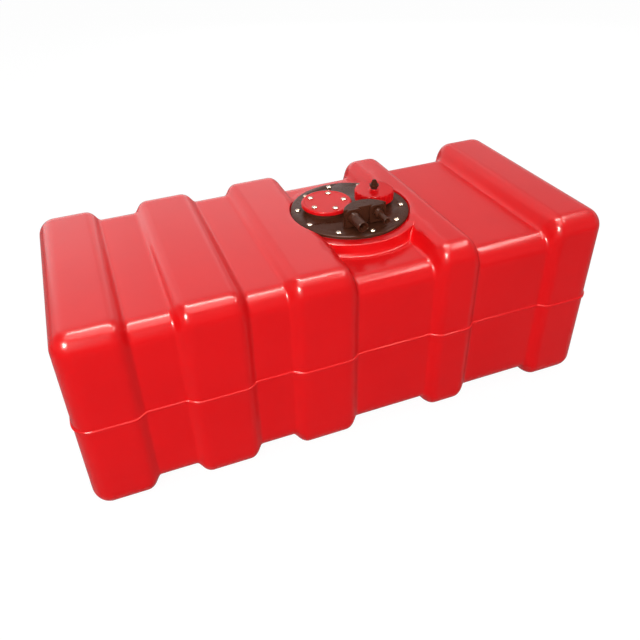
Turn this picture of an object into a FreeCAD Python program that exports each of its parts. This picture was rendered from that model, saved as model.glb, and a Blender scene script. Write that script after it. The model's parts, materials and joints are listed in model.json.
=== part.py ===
"""Ribbed 70 litre outboard fuel tank with its inspection flange, filler, breather and fuel pickup.

The tank lies along X with its front towards -Y and stands on Z = 0; the origin is the centre of its base.
Every size is a cell of the sheet "Sizes", in millimetres or degrees, and the features are bound to those cells.
"""
import FreeCAD
import Part

import math
import os

import Sketcher
from FreeCAD import Placement, Rotation, Vector

SIZES = {
    # moulded shell
    "tank_length": 800,
    "tank_width": 350,
    "tank_height": 300,
    "wall": 5,
    "corner_round": 28,
    "end_round": 26,
    "rib_round": 9,
    # ribs and grooves, each measured half way up its slopes; the fourth groove is what is left of the length
    "rib_one_width": 88,
    "groove_one_width": 68.5,
    "rib_two_width": 84.5,
    "groove_two_width": 66,
    "rib_three_width": 87.5,
    "groove_three_width": 129,
    "rib_four_width": 60.5,
    "rib_five_width": 88,
    "slope_run": 12,
    "side_depth": 10,
    "base_depth": 12.5,
    "shallow_depth": 13,
    "deep_depth": 26,
    # parting line lip
    "seam_height": 152,
    "seam_thick": 4.5,
    "seam_out": 2,
    # round pad that carries the flange
    "pad_drop": 7,
    "pad_radius": 104,
    "pad_thick": 14,
    "pad_round": 2,
    "pad_foot_round": 7,
    "recess_gap": 2.7,
    "opening_radius": 68,
    # flange plate and its gasket
    "plate_radius": 90.3,
    "plate_thick": 4,
    "plate_round": 1.2,
    "gasket_thick": 1.5,
    "gasket_inset": 1.5,
    "spigot_gap": 0.5,
    "spigot_wall": 2.5,
    "spigot_length": 8,
    # stainless pan head screws and brass inserts
    "screw_count": 10,
    "screw_circle": 79.6,
    "screw_phase": 19,
    "shank_radius": 2.45,
    "shank_length": 16,
    "head_radius": 4.7,
    "head_height": 3,
    "head_round": 1.4,
    "hole_clearance": 0.3,
    "insert_radius": 4,
    "insert_length": 12,
    "insert_floor": 1.5,
    "thread_clearance": 0.05,
    # level sender seat with its blanking cover
    "sender_right": -32.5,
    "sender_back": 13.2,
    "sender_opening": 20,
    "collar_radius": 36,
    "collar_height": 4.5,
    "cover_gasket_thick": 1.5,
    "cover_radius": 38.8,
    "cover_thick": 5.7,
    "cover_round": 2.2,
    "cover_screw_count": 5,
    "cover_screw_circle": 27.0,
    "cover_screw_phase": 62,
    "cover_shank_length": 12,
    "cover_insert_length": 7,
    # filler neck and cap
    "filler_right": 44,
    "filler_back": 5.5,
    "neck_radius": 25.5,
    "neck_bore": 20.5,
    "neck_height": 16,
    "cap_radius": 30.2,
    "cap_gap": 5.5,
    "cap_clearance": 0.35,
    "cap_ceiling": 3,
    "cap_round": 2.2,
    "cap_seal_thick": 1.5,
    "cap_seal_inset": 0.5,
    "flute_count": 18,
    "flute_radius": 3,
    "flute_depth": 0.9,
    "dome_radius": 7.8,
    "dome_top_radius": 7,
    "dome_height": 0.8,
    # vent screw in the cap
    "stem_radius": 3,
    "stem_clearance": 0.1,
    "vent_travel": 3,
    "vent_spare": 0.3,
    "vent_seal_radius": 4.6,
    "vent_seal_thick": 1.2,
    "knob_radius": 7.2,
    "knob_foot": 5,
    "knob_flare": 4,
    "knob_band": 1.4,
    "wing_length": 11,
    "wing_thick": 4.6,
    "wing_tip_length": 4.5,
    "wing_tip_thick": 2.2,
    "wing_height": 8,
    "clip_radius": 5.4,
    "clip_thick": 1.2,
    "stem_end": 1,
    # outlet block
    "block_half": 34,
    "block_front": 55,
    "block_depth": 22,
    "block_height": 28.5,
    "block_round": 1.2,
    "block_gasket_thick": 1,
    "block_gasket_inset": 1,
    "tail_spacing": 38.5,
    "tail_height": 16,
    "hood_half": 13,
    "hood_reach": 4.5,
    "hood_round": 8,
    "mouth_radius": 10.3,
    "mouth_depth": 2.5,
    "socket_depth": 5,
    "socket_clearance": 0.05,
    "passage_back": 9.5,
    "block_screw_pitch": 26,
    "block_screw_inset": 4.5,
    "block_shank_radius": 2,
    "block_shank_reach": 7,
    "block_head_radius": 3.6,
    "block_head_height": 2.4,
    # breather hose tail, for 16 mm hose
    "breather_spigot": 8,
    "breather_bore": 4.6,
    "breather_stop": 9.6,
    "breather_barb": 8.6,
    "breather_land": 7.6,
    "breather_land_length": 22,
    "breather_bead": 7.9,
    # fuel hose tail, for 8 mm hose
    "fuel_spigot": 6,
    "fuel_bore": 2.6,
    "fuel_stop": 8.4,
    "fuel_barb": 6.4,
    "fuel_land": 4.2,
    "fuel_land_length": 19,
    "fuel_bead": 5,
    # both hose tails
    "stop_thick": 1.8,
    "barb_pitch": 2.8,
    "barb_count": 3,
    "barb_step": 0.7,
    "barb_land": 0.6,
    "bead_length": 2.6,
    "bead_chamfer": 0.8,
    "mouth_rim": 0.6,
    "mouth_taper": 6,
    "ring_groove": 1.5,
    "ring_squeeze": 0.1,
    # fuel pickup
    "tube_radius": 4,
    "tube_wall": 1,
    "tube_seat": 6,
    "tube_clearance": 0.05,
    "pickup_gap": 5,
    "strainer_radius": 9,
    "strainer_height": 26,
    "strainer_wall": 1.2,
    "strainer_hood": 6,
}


class Dim:
    """A size that carries its expression for the document and its present value for the code."""

    def __init__(self, text, value):
        self.text = text
        self.value = value

    def __add__(self, other):
        other = dim(other)
        return Dim(f"({self.text} + {other.text})", self.value + other.value)

    def __radd__(self, other):
        return dim(other) + self

    def __sub__(self, other):
        other = dim(other)
        return Dim(f"({self.text} - {other.text})", self.value - other.value)

    def __rsub__(self, other):
        return dim(other) - self

    def __mul__(self, other):
        other = dim(other)
        return Dim(f"({self.text} * {other.text})", self.value * other.value)

    def __rmul__(self, other):
        return dim(other) * self

    def __truediv__(self, other):
        other = dim(other)
        return Dim(f"({self.text} / {other.text})", self.value / other.value)

    def __neg__(self):
        return dim(0) - self

    def root(self):
        return Dim(f"sqrt({self.text})", math.sqrt(self.value))


def dim(size):
    """The size itself if it is one, or a plain number as a size."""
    if isinstance(size, Dim):
        return size
    return Dim(str(size), float(size))


ZERO = dim(0)


class Sheet:
    """The document's sheet of driving sizes, read as attributes: sizes.wall and so on."""

    def __init__(self, document):
        self.cells = document.addObject("Spreadsheet::Sheet", "Sizes")
        for row, (alias, number) in enumerate(SIZES.items(), start=1):
            self.cells.set(f"A{row}", alias)
            self.cells.set(f"B{row}", str(number))
            self.cells.setAlias(f"B{row}", alias)
        document.recompute()

    def __getattr__(self, alias):
        return Dim(f"Sizes.{alias}", float(getattr(self.cells, alias)))


# ---------------------------------------------------------------- document helpers

def bind(target, path, size):
    target.setExpression(path, dim(size).text)


def new_body(name, right=ZERO, back=ZERO, up=ZERO, turn=None):
    """A body whose own frame stands at the given place; turn is its angle about its Z axis."""
    body = doc.addObject("PartDesign::Body", name)
    body.AllowCompound = True
    if turn is not None:
        body.Placement = Placement(Vector(), Rotation(Vector(0, 0, 1), turn.value))
        bind(body, "Placement.Rotation.Angle", turn)
    for axis, size in (("x", right), ("y", back), ("z", up)):
        bind(body, f"Placement.Base.{axis}", size)
    return body


def origin_feature(body, role):
    return next(item for item in body.Origin.OriginFeatures if item.Role == role)


def sketch_on(body, name, role, **shift):
    """A sketch on one of the body's origin planes, shifted by sizes along the sketch's own x, y and z."""
    sketch = body.newObject("Sketcher::SketchObject", name)
    sketch.AttachmentSupport = [(origin_feature(body, role), "")]
    sketch.MapMode = "FlatFace"
    for axis, size in shift.items():
        bind(sketch, f"AttachmentOffset.Base.{axis}", size)
    return sketch


def hold(sketch, name, kind, *places):
    """Adds a named dimension, whose last place is its size, and binds it to the sheet."""
    size = dim(places[-1])
    index = sketch.addConstraint(Sketcher.Constraint(kind, *places[:-1], size.value))
    sketch.renameConstraint(index, name)
    bind(sketch, f"Constraints.{name}", size)


def hold_point(sketch, name, element, vertex, right, up):
    """Holds a point at its two distances from the sketch's origin, or on an axis where one is zero."""
    if right is ZERO:
        sketch.addConstraint(Sketcher.Constraint("PointOnObject", element, vertex, -2))
    else:
        hold(sketch, f"{name}_right", "DistanceX", -1, 1, element, vertex, right)
    if up is ZERO:
        sketch.addConstraint(Sketcher.Constraint("PointOnObject", element, vertex, -1))
    else:
        hold(sketch, f"{name}_up", "DistanceY", -1, 1, element, vertex, up)


def draw_outline(sketch, corners):
    """A closed outline of straight lines through the corners, each a pair of sizes."""
    points = [Vector(dim(right).value, dim(up).value, 0) for right, up in corners]
    lines = [Part.LineSegment(start, end) for start, end in zip(points, points[1:] + points[:1])]
    sketch.addGeometry(lines, False)
    for number, (right, up) in enumerate(corners):
        previous = (number - 1) % len(corners)
        sketch.addConstraint(Sketcher.Constraint("Coincident", previous, 2, number, 1))
        hold_point(sketch, f"corner_{number}", number, 1, right, up)


def draw_circle(sketch, radius, right=ZERO, up=ZERO):
    centre = Vector(right.value, up.value, 0)
    index = sketch.addGeometry(Part.Circle(centre, Vector(0, 0, 1), dim(radius).value), False)
    hold_point(sketch, f"centre_{index}", index, 3, right, up)
    hold(sketch, f"radius_{index}", "Radius", index, radius)


def draw_rounded_rectangle(sketch, half, low, high, radius):
    """A rectangle of four lines and four tangent arcs, centred on the sketch's upright axis."""
    turn = math.pi / 2
    side = half.value - radius.value
    floor, roof = low.value + radius.value, high.value - radius.value
    centres = [Vector(side, floor, 0), Vector(side, roof, 0), Vector(-side, roof, 0), Vector(-side, floor, 0)]
    arcs = [
        Part.ArcOfCircle(Part.Circle(centre, Vector(0, 0, 1), radius.value), (corner - 1) * turn, corner * turn)
        for corner, centre in enumerate(centres)
    ]
    for corner, arc in enumerate(arcs):
        before = arcs[corner - 1]
        sketch.addGeometry([Part.LineSegment(before.EndPoint, arc.StartPoint), arc], False)
    for element in range(8):
        sketch.addConstraint(Sketcher.Constraint("Tangent", element, 2, (element + 1) % 8, 1))
    for element, direction in ((0, "Horizontal"), (2, "Vertical"), (4, "Horizontal"), (6, "Vertical")):
        sketch.addConstraint(Sketcher.Constraint(direction, element))
    for arc in (3, 5, 7):
        sketch.addConstraint(Sketcher.Constraint("Equal", 1, arc))
    hold(sketch, "round", "Radius", 1, radius)
    hold(sketch, "right", "DistanceX", -1, 1, 2, 1, half)
    hold(sketch, "left", "DistanceX", 6, 1, -1, 1, half)
    hold(sketch, "low", "DistanceY", -1, 1, 0, 1, low)
    hold(sketch, "high", "DistanceY", -1, 1, 4, 1, high)


def feature(body, kind, name, profile, **sizes):
    """A PartDesign feature from a profile, with its sizes bound to the sheet."""
    item = body.newObject(f"PartDesign::{kind}", name)
    item.Profile = profile
    for key, size in sizes.items():
        bind(item, key, size)
    return item


def revolve(body, name, corners, kind="Revolution", right=ZERO):
    """Turns an outline in the body's XZ plane about an upright axis that lies right of the body's own."""
    shift = {} if right is ZERO else {"x": right}
    sketch = sketch_on(body, f"{name}_outline", "XZ_Plane", **shift)
    draw_outline(sketch, corners)
    item = feature(body, kind, name, sketch)
    item.ReferenceAxis = (sketch, ["V_Axis"])
    return item


def drill(body, name, radius, top, depth=None, right=ZERO, back=ZERO):
    """A round pocket straight down from the given height, right through where no depth is given."""
    sketch = sketch_on(body, f"{name}_circle", "XY_Plane", z=top)
    draw_circle(sketch, radius, right, back)
    item = feature(body, "Pocket", name, sketch)
    if depth is None:
        item.Type = "ThroughAll"
    else:
        bind(item, "Length", depth)
    return item


def ring_pattern(body, name, item, count):
    """Repeats a feature evenly about the body's Z axis."""
    pattern = body.newObject("PartDesign::PolarPattern", name)
    pattern.Originals = [item]
    pattern.Axis = (origin_feature(body, "Z_Axis"), [""])
    bind(pattern, "Occurrences", count)
    body.Tip = pattern
    return pattern


def row_pattern(body, name, item, count, length):
    """Repeats a feature evenly along the body's X axis."""
    pattern = body.newObject("PartDesign::LinearPattern", name)
    pattern.Originals = [item]
    pattern.Direction = (origin_feature(body, "X_Axis"), [""])
    bind(pattern, "Length", length)
    bind(pattern, "Occurrences", count)
    body.Tip = pattern
    return pattern


def fillet(body, name, base, radius, chosen):
    """Rounds the edges of the body's last feature that the test picks."""
    doc.recompute()
    names = [f"Edge{number}" for number, edge in enumerate(base.Shape.Edges, start=1) if chosen(edge)]
    item = body.newObject("PartDesign::Fillet", name)
    item.Base = (base, names)
    bind(item, "Radius", radius)
    return item


def circle_at(radius, height):
    """A test for whole circles of one radius at one height."""
    def chosen(edge):
        if not isinstance(edge.Curve, Part.Circle):
            return False
        level = edge.BoundBox.ZMin
        return abs(edge.Curve.Radius - radius.value) < NEAR and abs(level - height.value) < NEAR and (
            edge.BoundBox.ZLength < NEAR)
    return chosen


NEAR = 1e-3

doc = FreeCAD.newDocument("OutboardFuelTank")
sizes = Sheet(doc)

# ---------------------------------------------------------------- places worked out from the sizes

half_length = sizes.tank_length / 2
groove_three_left = (-half_length + sizes.rib_one_width + sizes.groove_one_width + sizes.rib_two_width
                     + sizes.groove_two_width + sizes.rib_three_width)
groove_three_right = groove_three_left + sizes.groove_three_width
groove_four_width = half_length - groove_three_right - sizes.rib_four_width - sizes.rib_five_width
flange_right = groove_three_left + sizes.groove_three_width / 2
pad_top = sizes.tank_height - sizes.pad_drop
plate_low = pad_top + sizes.gasket_thick
plate_top = plate_low + sizes.plate_thick
collar_top = plate_top + sizes.collar_height
cover_low = collar_top + sizes.cover_gasket_thick
cover_top = cover_low + sizes.cover_thick
neck_top = plate_top + sizes.neck_height
ceiling = neck_top + sizes.cap_seal_thick
cap_low = plate_top + sizes.cap_gap
cap_top = ceiling + sizes.cap_ceiling
dome_top = cap_top + sizes.dome_height
knob_low = dome_top + sizes.vent_seal_thick
clip_top = ceiling - sizes.vent_travel - sizes.vent_spare
block_low = plate_top + sizes.block_gasket_thick
block_top = plate_top + sizes.block_height
tail_axis = plate_top + sizes.tail_height
passage_line = sizes.block_front - sizes.passage_back
tail_seat = sizes.hood_reach - sizes.mouth_depth
ring_middle = (tail_seat - sizes.socket_depth) / 2
insert_bore = sizes.shank_radius + sizes.thread_clearance
screw_hole = sizes.shank_radius + sizes.hole_clearance
sender_right = flange_right + sizes.sender_right
filler_right = flange_right + sizes.filler_right


# ---------------------------------------------------------------- the moulded shell

def rib_section(body, name, place, grow):
    sketch = sketch_on(body, name, "YZ_Plane", z=place)
    draw_rounded_rectangle(sketch, sizes.tank_width / 2 + grow, -grow, sizes.tank_height + grow,
                           sizes.corner_round + grow)
    return sketch


def groove_section(body, name, place, depth, grow):
    sketch = sketch_on(body, name, "YZ_Plane", z=place)
    draw_rounded_rectangle(sketch, sizes.tank_width / 2 - sizes.side_depth + grow, sizes.base_depth - grow,
                           sizes.tank_height - depth + grow, sizes.corner_round + grow)
    return sketch


def ribbed_form(name, grow):
    """The tank's ribbed outer form, grown outwards by one distance on every side, or shrunk where negative."""
    body = new_body(name)
    slope = (sizes.slope_run * sizes.slope_run + sizes.side_depth * sizes.side_depth).root()
    shift = grow * (slope - sizes.slope_run) / sizes.side_depth
    half_run = sizes.slope_run / 2
    grooves = (
        (sizes.rib_one_width, sizes.groove_one_width, sizes.shallow_depth),
        (sizes.rib_two_width, sizes.groove_two_width, sizes.shallow_depth),
        (sizes.rib_three_width, sizes.groove_three_width, sizes.deep_depth),
        (sizes.rib_four_width, groove_four_width, sizes.deep_depth),
    )
    sections = [rib_section(body, f"{name}_left_end", -half_length - grow, grow)]
    place = -half_length
    for number, (rib, groove, depth) in enumerate(grooves, start=1):
        place = place + rib
        title = f"{name}_groove_{number}"
        sections.append(rib_section(body, f"{title}_left_crest", place - half_run + shift, grow))
        sections.append(groove_section(body, f"{title}_left_foot", place + half_run + shift, depth, grow))
        place = place + groove
        sections.append(groove_section(body, f"{title}_right_foot", place - half_run - shift, depth, grow))
        sections.append(rib_section(body, f"{title}_right_crest", place + half_run - shift, grow))
    sections.append(rib_section(body, f"{name}_right_end", half_length + grow, grow))

    # lofted from the right end, which leaves the faces pointing outwards
    sections.reverse()
    loft = body.newObject("PartDesign::AdditiveLoft", f"{name}_loft")
    loft.Profile = (sections[0], [""])
    loft.Sections = [(sketch, [""]) for sketch in sections[1:]]
    loft.Ruled = True
    doc.recompute()
    places = [sketch.Placement.Base.x for sketch in sections]

    def lies_in(edge, planes):
        return edge.BoundBox.XLength < NEAR and any(abs(edge.BoundBox.XMin - plane) < NEAR for plane in planes)

    slopes = fillet(body, f"{name}_slope_rounds", loft, sizes.rib_round, lambda edge: lies_in(edge, places[1:-1]))
    fillet(body, f"{name}_end_rounds", slopes, sizes.end_round + grow,
           lambda edge: lies_in(edge, (places[0], places[-1])))
    return body


def cylinder(name, radius, low, high):
    """A primitive cylinder on the flange's axis."""
    item = doc.addObject("Part::Cylinder", name)
    bind(item, "Radius", radius)
    bind(item, "Height", high - low)
    bind(item, "Placement.Base.x", flange_right)
    bind(item, "Placement.Base.z", low)
    return item


def joined(name, *pieces):
    item = doc.addObject("Part::MultiFuse", name)
    item.Shapes = list(pieces)
    return item


def cut(name, base, tool):
    item = doc.addObject("Part::Cut", name)
    item.Base = base
    item.Tool = tool
    return item


def make_tank_shell():
    """One hollow moulding: ribbed form, parting line lip, pad, opening and the seats of the inserts."""
    outside = ribbed_form("outside", ZERO)
    hollow = ribbed_form("hollow", -sizes.wall)
    seam_form = ribbed_form("seam_form", sizes.seam_out)

    band = doc.addObject("Part::Box", "seam_band")
    reach = 2 * (sizes.seam_out + sizes.wall)
    bind(band, "Length", sizes.tank_length + reach)
    bind(band, "Width", sizes.tank_width + reach)
    bind(band, "Height", sizes.seam_thick)
    bind(band, "Placement.Base.x", -(sizes.tank_length + reach) / 2)
    bind(band, "Placement.Base.y", -(sizes.tank_width + reach) / 2)
    bind(band, "Placement.Base.z", sizes.seam_height - sizes.seam_thick / 2)
    lip = doc.addObject("Part::Common", "seam_lip")
    lip.Base = seam_form
    lip.Tool = band

    groove_floor = sizes.tank_height - sizes.deep_depth
    spread = sizes.pad_radius + sizes.pad_foot_round + sizes.wall
    pad = new_body("flange_pad", right=flange_right)
    block = revolve(pad, "flange_pad_section", [
        (ZERO, groove_floor - sizes.wall), (spread, groove_floor - sizes.wall), (spread, groove_floor),
        (sizes.pad_radius, groove_floor), (sizes.pad_radius, pad_top), (ZERO, pad_top),
    ])
    rim = fillet(pad, "flange_pad_rim", block, sizes.pad_round, circle_at(sizes.pad_radius, pad_top))
    fillet(pad, "flange_pad_foot", rim, sizes.pad_foot_round, circle_at(sizes.pad_radius, groove_floor))
    skin = joined("skin", outside, lip, pad)

    kept = cylinder("pad_kept", sizes.pad_radius, pad_top - sizes.pad_thick, sizes.tank_height)
    inside = cut("inside", hollow, kept)
    walled = cut("walled", skin, inside)
    recess = cylinder("flange_recess", sizes.plate_radius + sizes.recess_gap, pad_top,
                      sizes.tank_height + sizes.wall)
    opening = cylinder("flange_opening", sizes.opening_radius, groove_floor - 2 * sizes.wall,
                       sizes.tank_height)
    seats = new_body("insert_seats", right=flange_right, turn=sizes.screw_phase)
    seat = sketch_on(seats, "insert_seat_circle", "XY_Plane", z=pad_top - sizes.insert_length)
    draw_circle(seat, sizes.insert_radius, sizes.screw_circle)
    hole = feature(seats, "Pad", "insert_seat", seat, Length=sizes.insert_length)
    ring_pattern(seats, "insert_seat_ring", hole, sizes.screw_count)
    tools = joined("shell_cuts", recess, opening, seats)
    return cut("tank_shell", walled, tools)


# ---------------------------------------------------------------- inserts and screws

def insert_outline(length, top):
    """Half section of a blind threaded insert whose mouth is at the given height."""
    low = top - length
    return [
        (ZERO, low), (sizes.insert_radius, low), (sizes.insert_radius, top),
        (insert_bore, top), (insert_bore, low + sizes.insert_floor), (ZERO, low + sizes.insert_floor),
    ]


def screw_outline(length, seat):
    """Half section of a pan head screw whose head sits at the given height."""
    top = seat + sizes.head_height
    return [
        (ZERO, seat - length), (sizes.shank_radius, seat - length), (sizes.shank_radius, seat),
        (sizes.head_radius, seat), (sizes.head_radius, top), (ZERO, top),
    ]


def make_inserts(name, right, back, phase, circle, count, length, top):
    body = new_body(name, right=right, back=back, turn=phase)
    one = revolve(body, f"{name}_one", insert_outline(length, top), right=circle)
    ring_pattern(body, f"{name}_ring", one, count)
    return body


def make_screws(name, right, back, phase, circle, count, length, seat):
    body = new_body(name, right=right, back=back, turn=phase)
    shank = revolve(body, f"{name}_one", screw_outline(length, seat), right=circle)
    ring_pattern(body, f"{name}_ring", shank, count)
    ring = body.Tip
    fillet(body, f"{name}_pan", ring, sizes.head_round, circle_at(sizes.head_radius, seat + sizes.head_height))
    return body


# ---------------------------------------------------------------- flange plate and gaskets

def make_flange_gasket():
    body = new_body("flange_gasket", right=flange_right, turn=sizes.screw_phase)
    sketch = sketch_on(body, "flange_gasket_rings", "XY_Plane", z=pad_top)
    draw_circle(sketch, sizes.plate_radius - sizes.gasket_inset)
    draw_circle(sketch, sizes.opening_radius)
    feature(body, "Pad", "flange_gasket_sheet", sketch, Length=sizes.gasket_thick)
    hole = drill(body, "flange_gasket_hole", screw_hole, plate_low, right=sizes.screw_circle)
    ring_pattern(body, "flange_gasket_holes", hole, sizes.screw_count)
    return body


def plate_disc():
    """The flange plate's round base with its centring spigot and rim, screw holes at its phase."""
    body = new_body("plate_disc", right=flange_right, turn=sizes.screw_phase)
    spigot = sizes.opening_radius - sizes.spigot_gap
    low = plate_low - sizes.spigot_length
    inner = spigot - sizes.spigot_wall
    disc = revolve(body, "plate_disc_section", [
        (ZERO, plate_low), (inner, plate_low), (inner, low), (spigot, low), (spigot, plate_low),
        (sizes.plate_radius, plate_low), (sizes.plate_radius, plate_top), (ZERO, plate_top),
    ])
    fillet(body, "plate_rim", disc, sizes.plate_round, circle_at(sizes.plate_radius, plate_top))
    hole = drill(body, "plate_hole", screw_hole, plate_top, right=sizes.screw_circle)
    ring_pattern(body, "plate_holes", hole, sizes.screw_count)
    return body


def sender_seat():
    """The raised collar for a level sender, and what is cut from it."""
    collar = new_body("sender_collar", right=sender_right, back=sizes.sender_back)
    sketch = sketch_on(collar, "sender_collar_circle", "XY_Plane", z=plate_low)
    draw_circle(sketch, sizes.collar_radius)
    feature(collar, "Pad", "sender_collar_disc", sketch, Length=collar_top - plate_low)

    cuts = new_body("sender_cuts", right=sender_right, back=sizes.sender_back, turn=sizes.cover_screw_phase)
    mouth = sketch_on(cuts, "sender_mouth_circle", "XY_Plane", z=plate_low - sizes.wall)
    draw_circle(mouth, sizes.sender_opening)
    feature(cuts, "Pad", "sender_mouth", mouth, Length=collar_top - plate_low + 2 * sizes.wall)
    seat = sketch_on(cuts, "cover_insert_circle", "XY_Plane", z=collar_top - sizes.cover_insert_length)
    draw_circle(seat, sizes.insert_radius, sizes.cover_screw_circle)
    hole = feature(cuts, "Pad", "cover_insert_seat", seat, Length=sizes.cover_insert_length)
    ring_pattern(cuts, "cover_insert_seats", hole, sizes.cover_screw_count)
    return collar, cuts


def filler_neck():
    """The upright neck that the cap closes, and its bore."""
    neck = new_body("filler_neck", right=filler_right, back=sizes.filler_back)
    sketch = sketch_on(neck, "filler_neck_circle", "XY_Plane", z=plate_low)
    draw_circle(sketch, sizes.neck_radius)
    feature(neck, "Pad", "filler_neck_wall", sketch, Length=neck_top - plate_low)
    bore = new_body("filler_bore", right=filler_right, back=sizes.filler_back)
    circle = sketch_on(bore, "filler_bore_circle", "XY_Plane", z=plate_low - sizes.wall)
    draw_circle(circle, sizes.neck_bore)
    feature(bore, "Pad", "filler_bore_hole", circle, Length=neck_top - plate_low + 2 * sizes.wall)
    return neck, bore


def outlet_holes():
    """The holes in the plate under the outlet block: two passages and a row of screw holes."""
    body = new_body("outlet_holes", right=flange_right)
    half = sizes.tail_spacing / 2
    depth = sizes.plate_thick + 2 * sizes.wall
    for name, radius, right in (
        ("breather_way", sizes.breather_bore, -half),
        ("pickup_way", sizes.tube_radius + sizes.tube_clearance, half),
    ):
        sketch = sketch_on(body, f"{name}_circle", "XY_Plane", z=plate_low - sizes.wall)
        draw_circle(sketch, radius, right, -passage_line)
        feature(body, "Pad", name, sketch, Length=depth)
    sketch = sketch_on(body, "outlet_screw_circle", "XY_Plane", z=plate_low - sizes.wall)
    draw_circle(sketch, sizes.block_shank_radius + sizes.hole_clearance, -sizes.block_screw_pitch,
                sizes.block_screw_inset - sizes.block_front)
    hole = feature(body, "Pad", "outlet_screw_hole", sketch, Length=depth)
    row_pattern(body, "outlet_screw_holes", hole, dim(3), 2 * sizes.block_screw_pitch)
    return body


def make_flange_plate():
    collar, sender_cuts = sender_seat()
    neck, bore = filler_neck()
    raised = joined("plate_raised", plate_disc(), collar, neck)
    return cut("flange_plate", raised, joined("plate_cuts", sender_cuts, bore, outlet_holes()))


# ---------------------------------------------------------------- level sender cover

def make_sender_gasket():
    body = new_body("sender_gasket", right=sender_right, back=sizes.sender_back, turn=sizes.cover_screw_phase)
    sketch = sketch_on(body, "sender_gasket_rings", "XY_Plane", z=collar_top)
    draw_circle(sketch, sizes.collar_radius)
    draw_circle(sketch, sizes.sender_opening)
    feature(body, "Pad", "sender_gasket_sheet", sketch, Length=sizes.cover_gasket_thick)
    hole = drill(body, "sender_gasket_hole", screw_hole, cover_low, right=sizes.cover_screw_circle)
    ring_pattern(body, "sender_gasket_holes", hole, sizes.cover_screw_count)
    return body


def make_sender_cover():
    body = new_body("sender_cover", right=sender_right, back=sizes.sender_back, turn=sizes.cover_screw_phase)
    sketch = sketch_on(body, "sender_cover_circle", "XY_Plane", z=cover_low)
    draw_circle(sketch, sizes.cover_radius)
    disc = feature(body, "Pad", "sender_cover_disc", sketch, Length=sizes.cover_thick)
    fillet(body, "sender_cover_rim", disc, sizes.cover_round, circle_at(sizes.cover_radius, cover_top))
    hole = drill(body, "sender_cover_hole", screw_hole, cover_top, right=sizes.cover_screw_circle)
    ring_pattern(body, "sender_cover_holes", hole, sizes.cover_screw_count)
    return body


# ---------------------------------------------------------------- filler cap and its vent

def make_filler_cap():
    """A fluted screw cap with a domed seat for the vent screw."""
    body = new_body("filler_cap", right=filler_right, back=sizes.filler_back)
    inner = sizes.neck_radius + sizes.cap_clearance
    hole = sizes.stem_radius + sizes.stem_clearance
    cap = revolve(body, "cap_section", [
        (hole, ceiling), (inner, ceiling), (inner, cap_low), (sizes.cap_radius, cap_low),
        (sizes.cap_radius, cap_top), (sizes.dome_radius, cap_top), (sizes.dome_top_radius, dome_top),
        (hole, dome_top),
    ])
    fillet(body, "cap_rim", cap, sizes.cap_round, circle_at(sizes.cap_radius, cap_top))
    sketch = sketch_on(body, "cap_flute_circle", "XY_Plane", z=cap_top - sizes.cap_round)
    draw_circle(sketch, sizes.flute_radius, sizes.cap_radius + sizes.flute_radius - sizes.flute_depth)
    flute = feature(body, "Pocket", "cap_flute", sketch, Length=cap_top - cap_low)
    ring_pattern(body, "cap_flutes", flute, sizes.flute_count)
    return body


def make_ring(name, right, back, low, thick, inner, outer):
    """A flat seal or clip between two radii."""
    body = new_body(name, right=right, back=back)
    sketch = sketch_on(body, f"{name}_circles", "XY_Plane", z=low)
    draw_circle(sketch, outer)
    draw_circle(sketch, inner)
    feature(body, "Pad", f"{name}_ring", sketch, Length=thick)
    return body


def draw_centred_rectangle(sketch, length, width):
    half_long, half_wide = length / 2, width / 2
    draw_outline(sketch, [
        (-half_long, -half_wide), (half_long, -half_wide), (half_long, half_wide), (-half_long, half_wide),
    ])


def make_vent_screw():
    """A stem through the cap with a flared round foot and a tapered thumb wing."""
    body = new_body("vent_screw", right=filler_right, back=sizes.filler_back)
    flare_top = knob_low + sizes.knob_flare
    foot_top = flare_top + sizes.knob_band
    stem_low = clip_top - sizes.clip_thick - sizes.stem_end
    revolve(body, "vent_stem", [
        (ZERO, stem_low), (sizes.stem_radius, stem_low), (sizes.stem_radius, knob_low),
        (sizes.knob_foot, knob_low), (sizes.knob_radius, flare_top), (sizes.knob_radius, foot_top),
        (ZERO, foot_top),
    ])
    foot = sketch_on(body, "wing_foot", "XY_Plane", z=foot_top)
    draw_centred_rectangle(foot, sizes.wing_length, sizes.wing_thick)
    tip = sketch_on(body, "wing_tip", "XY_Plane", z=foot_top + sizes.wing_height)
    draw_centred_rectangle(tip, sizes.wing_tip_length, sizes.wing_tip_thick)
    wing = body.newObject("PartDesign::AdditiveLoft", "vent_wing")
    wing.Profile = (tip, [""])
    wing.Sections = [(foot, [""])]
    wing.Ruled = True
    return body


# ---------------------------------------------------------------- outlet block and hose tails

def draw_block_outline(sketch, inset):
    """A straight front and one arc behind it, drawn by its chord and its depth."""
    front = inset - sizes.block_front
    half = sizes.block_half - inset
    crown = sizes.block_depth - sizes.block_front - inset
    start, end = Vector(-half.value, front.value, 0), Vector(half.value, front.value, 0)
    arc = Part.Arc(end, Vector(0, crown.value, 0), start)
    sketch.addGeometry([Part.LineSegment(start, end), arc], False)
    sketch.addConstraint(Sketcher.Constraint("Coincident", 0, 2, 1, 1))
    sketch.addConstraint(Sketcher.Constraint("Coincident", 1, 2, 0, 1))
    hold_point(sketch, "left_corner", 0, 1, -half, front)
    hold_point(sketch, "right_corner", 0, 2, half, front)
    rise = crown - front
    hold(sketch, "crown", "Radius", 1, (half * half + rise * rise) / (2 * rise))


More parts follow.
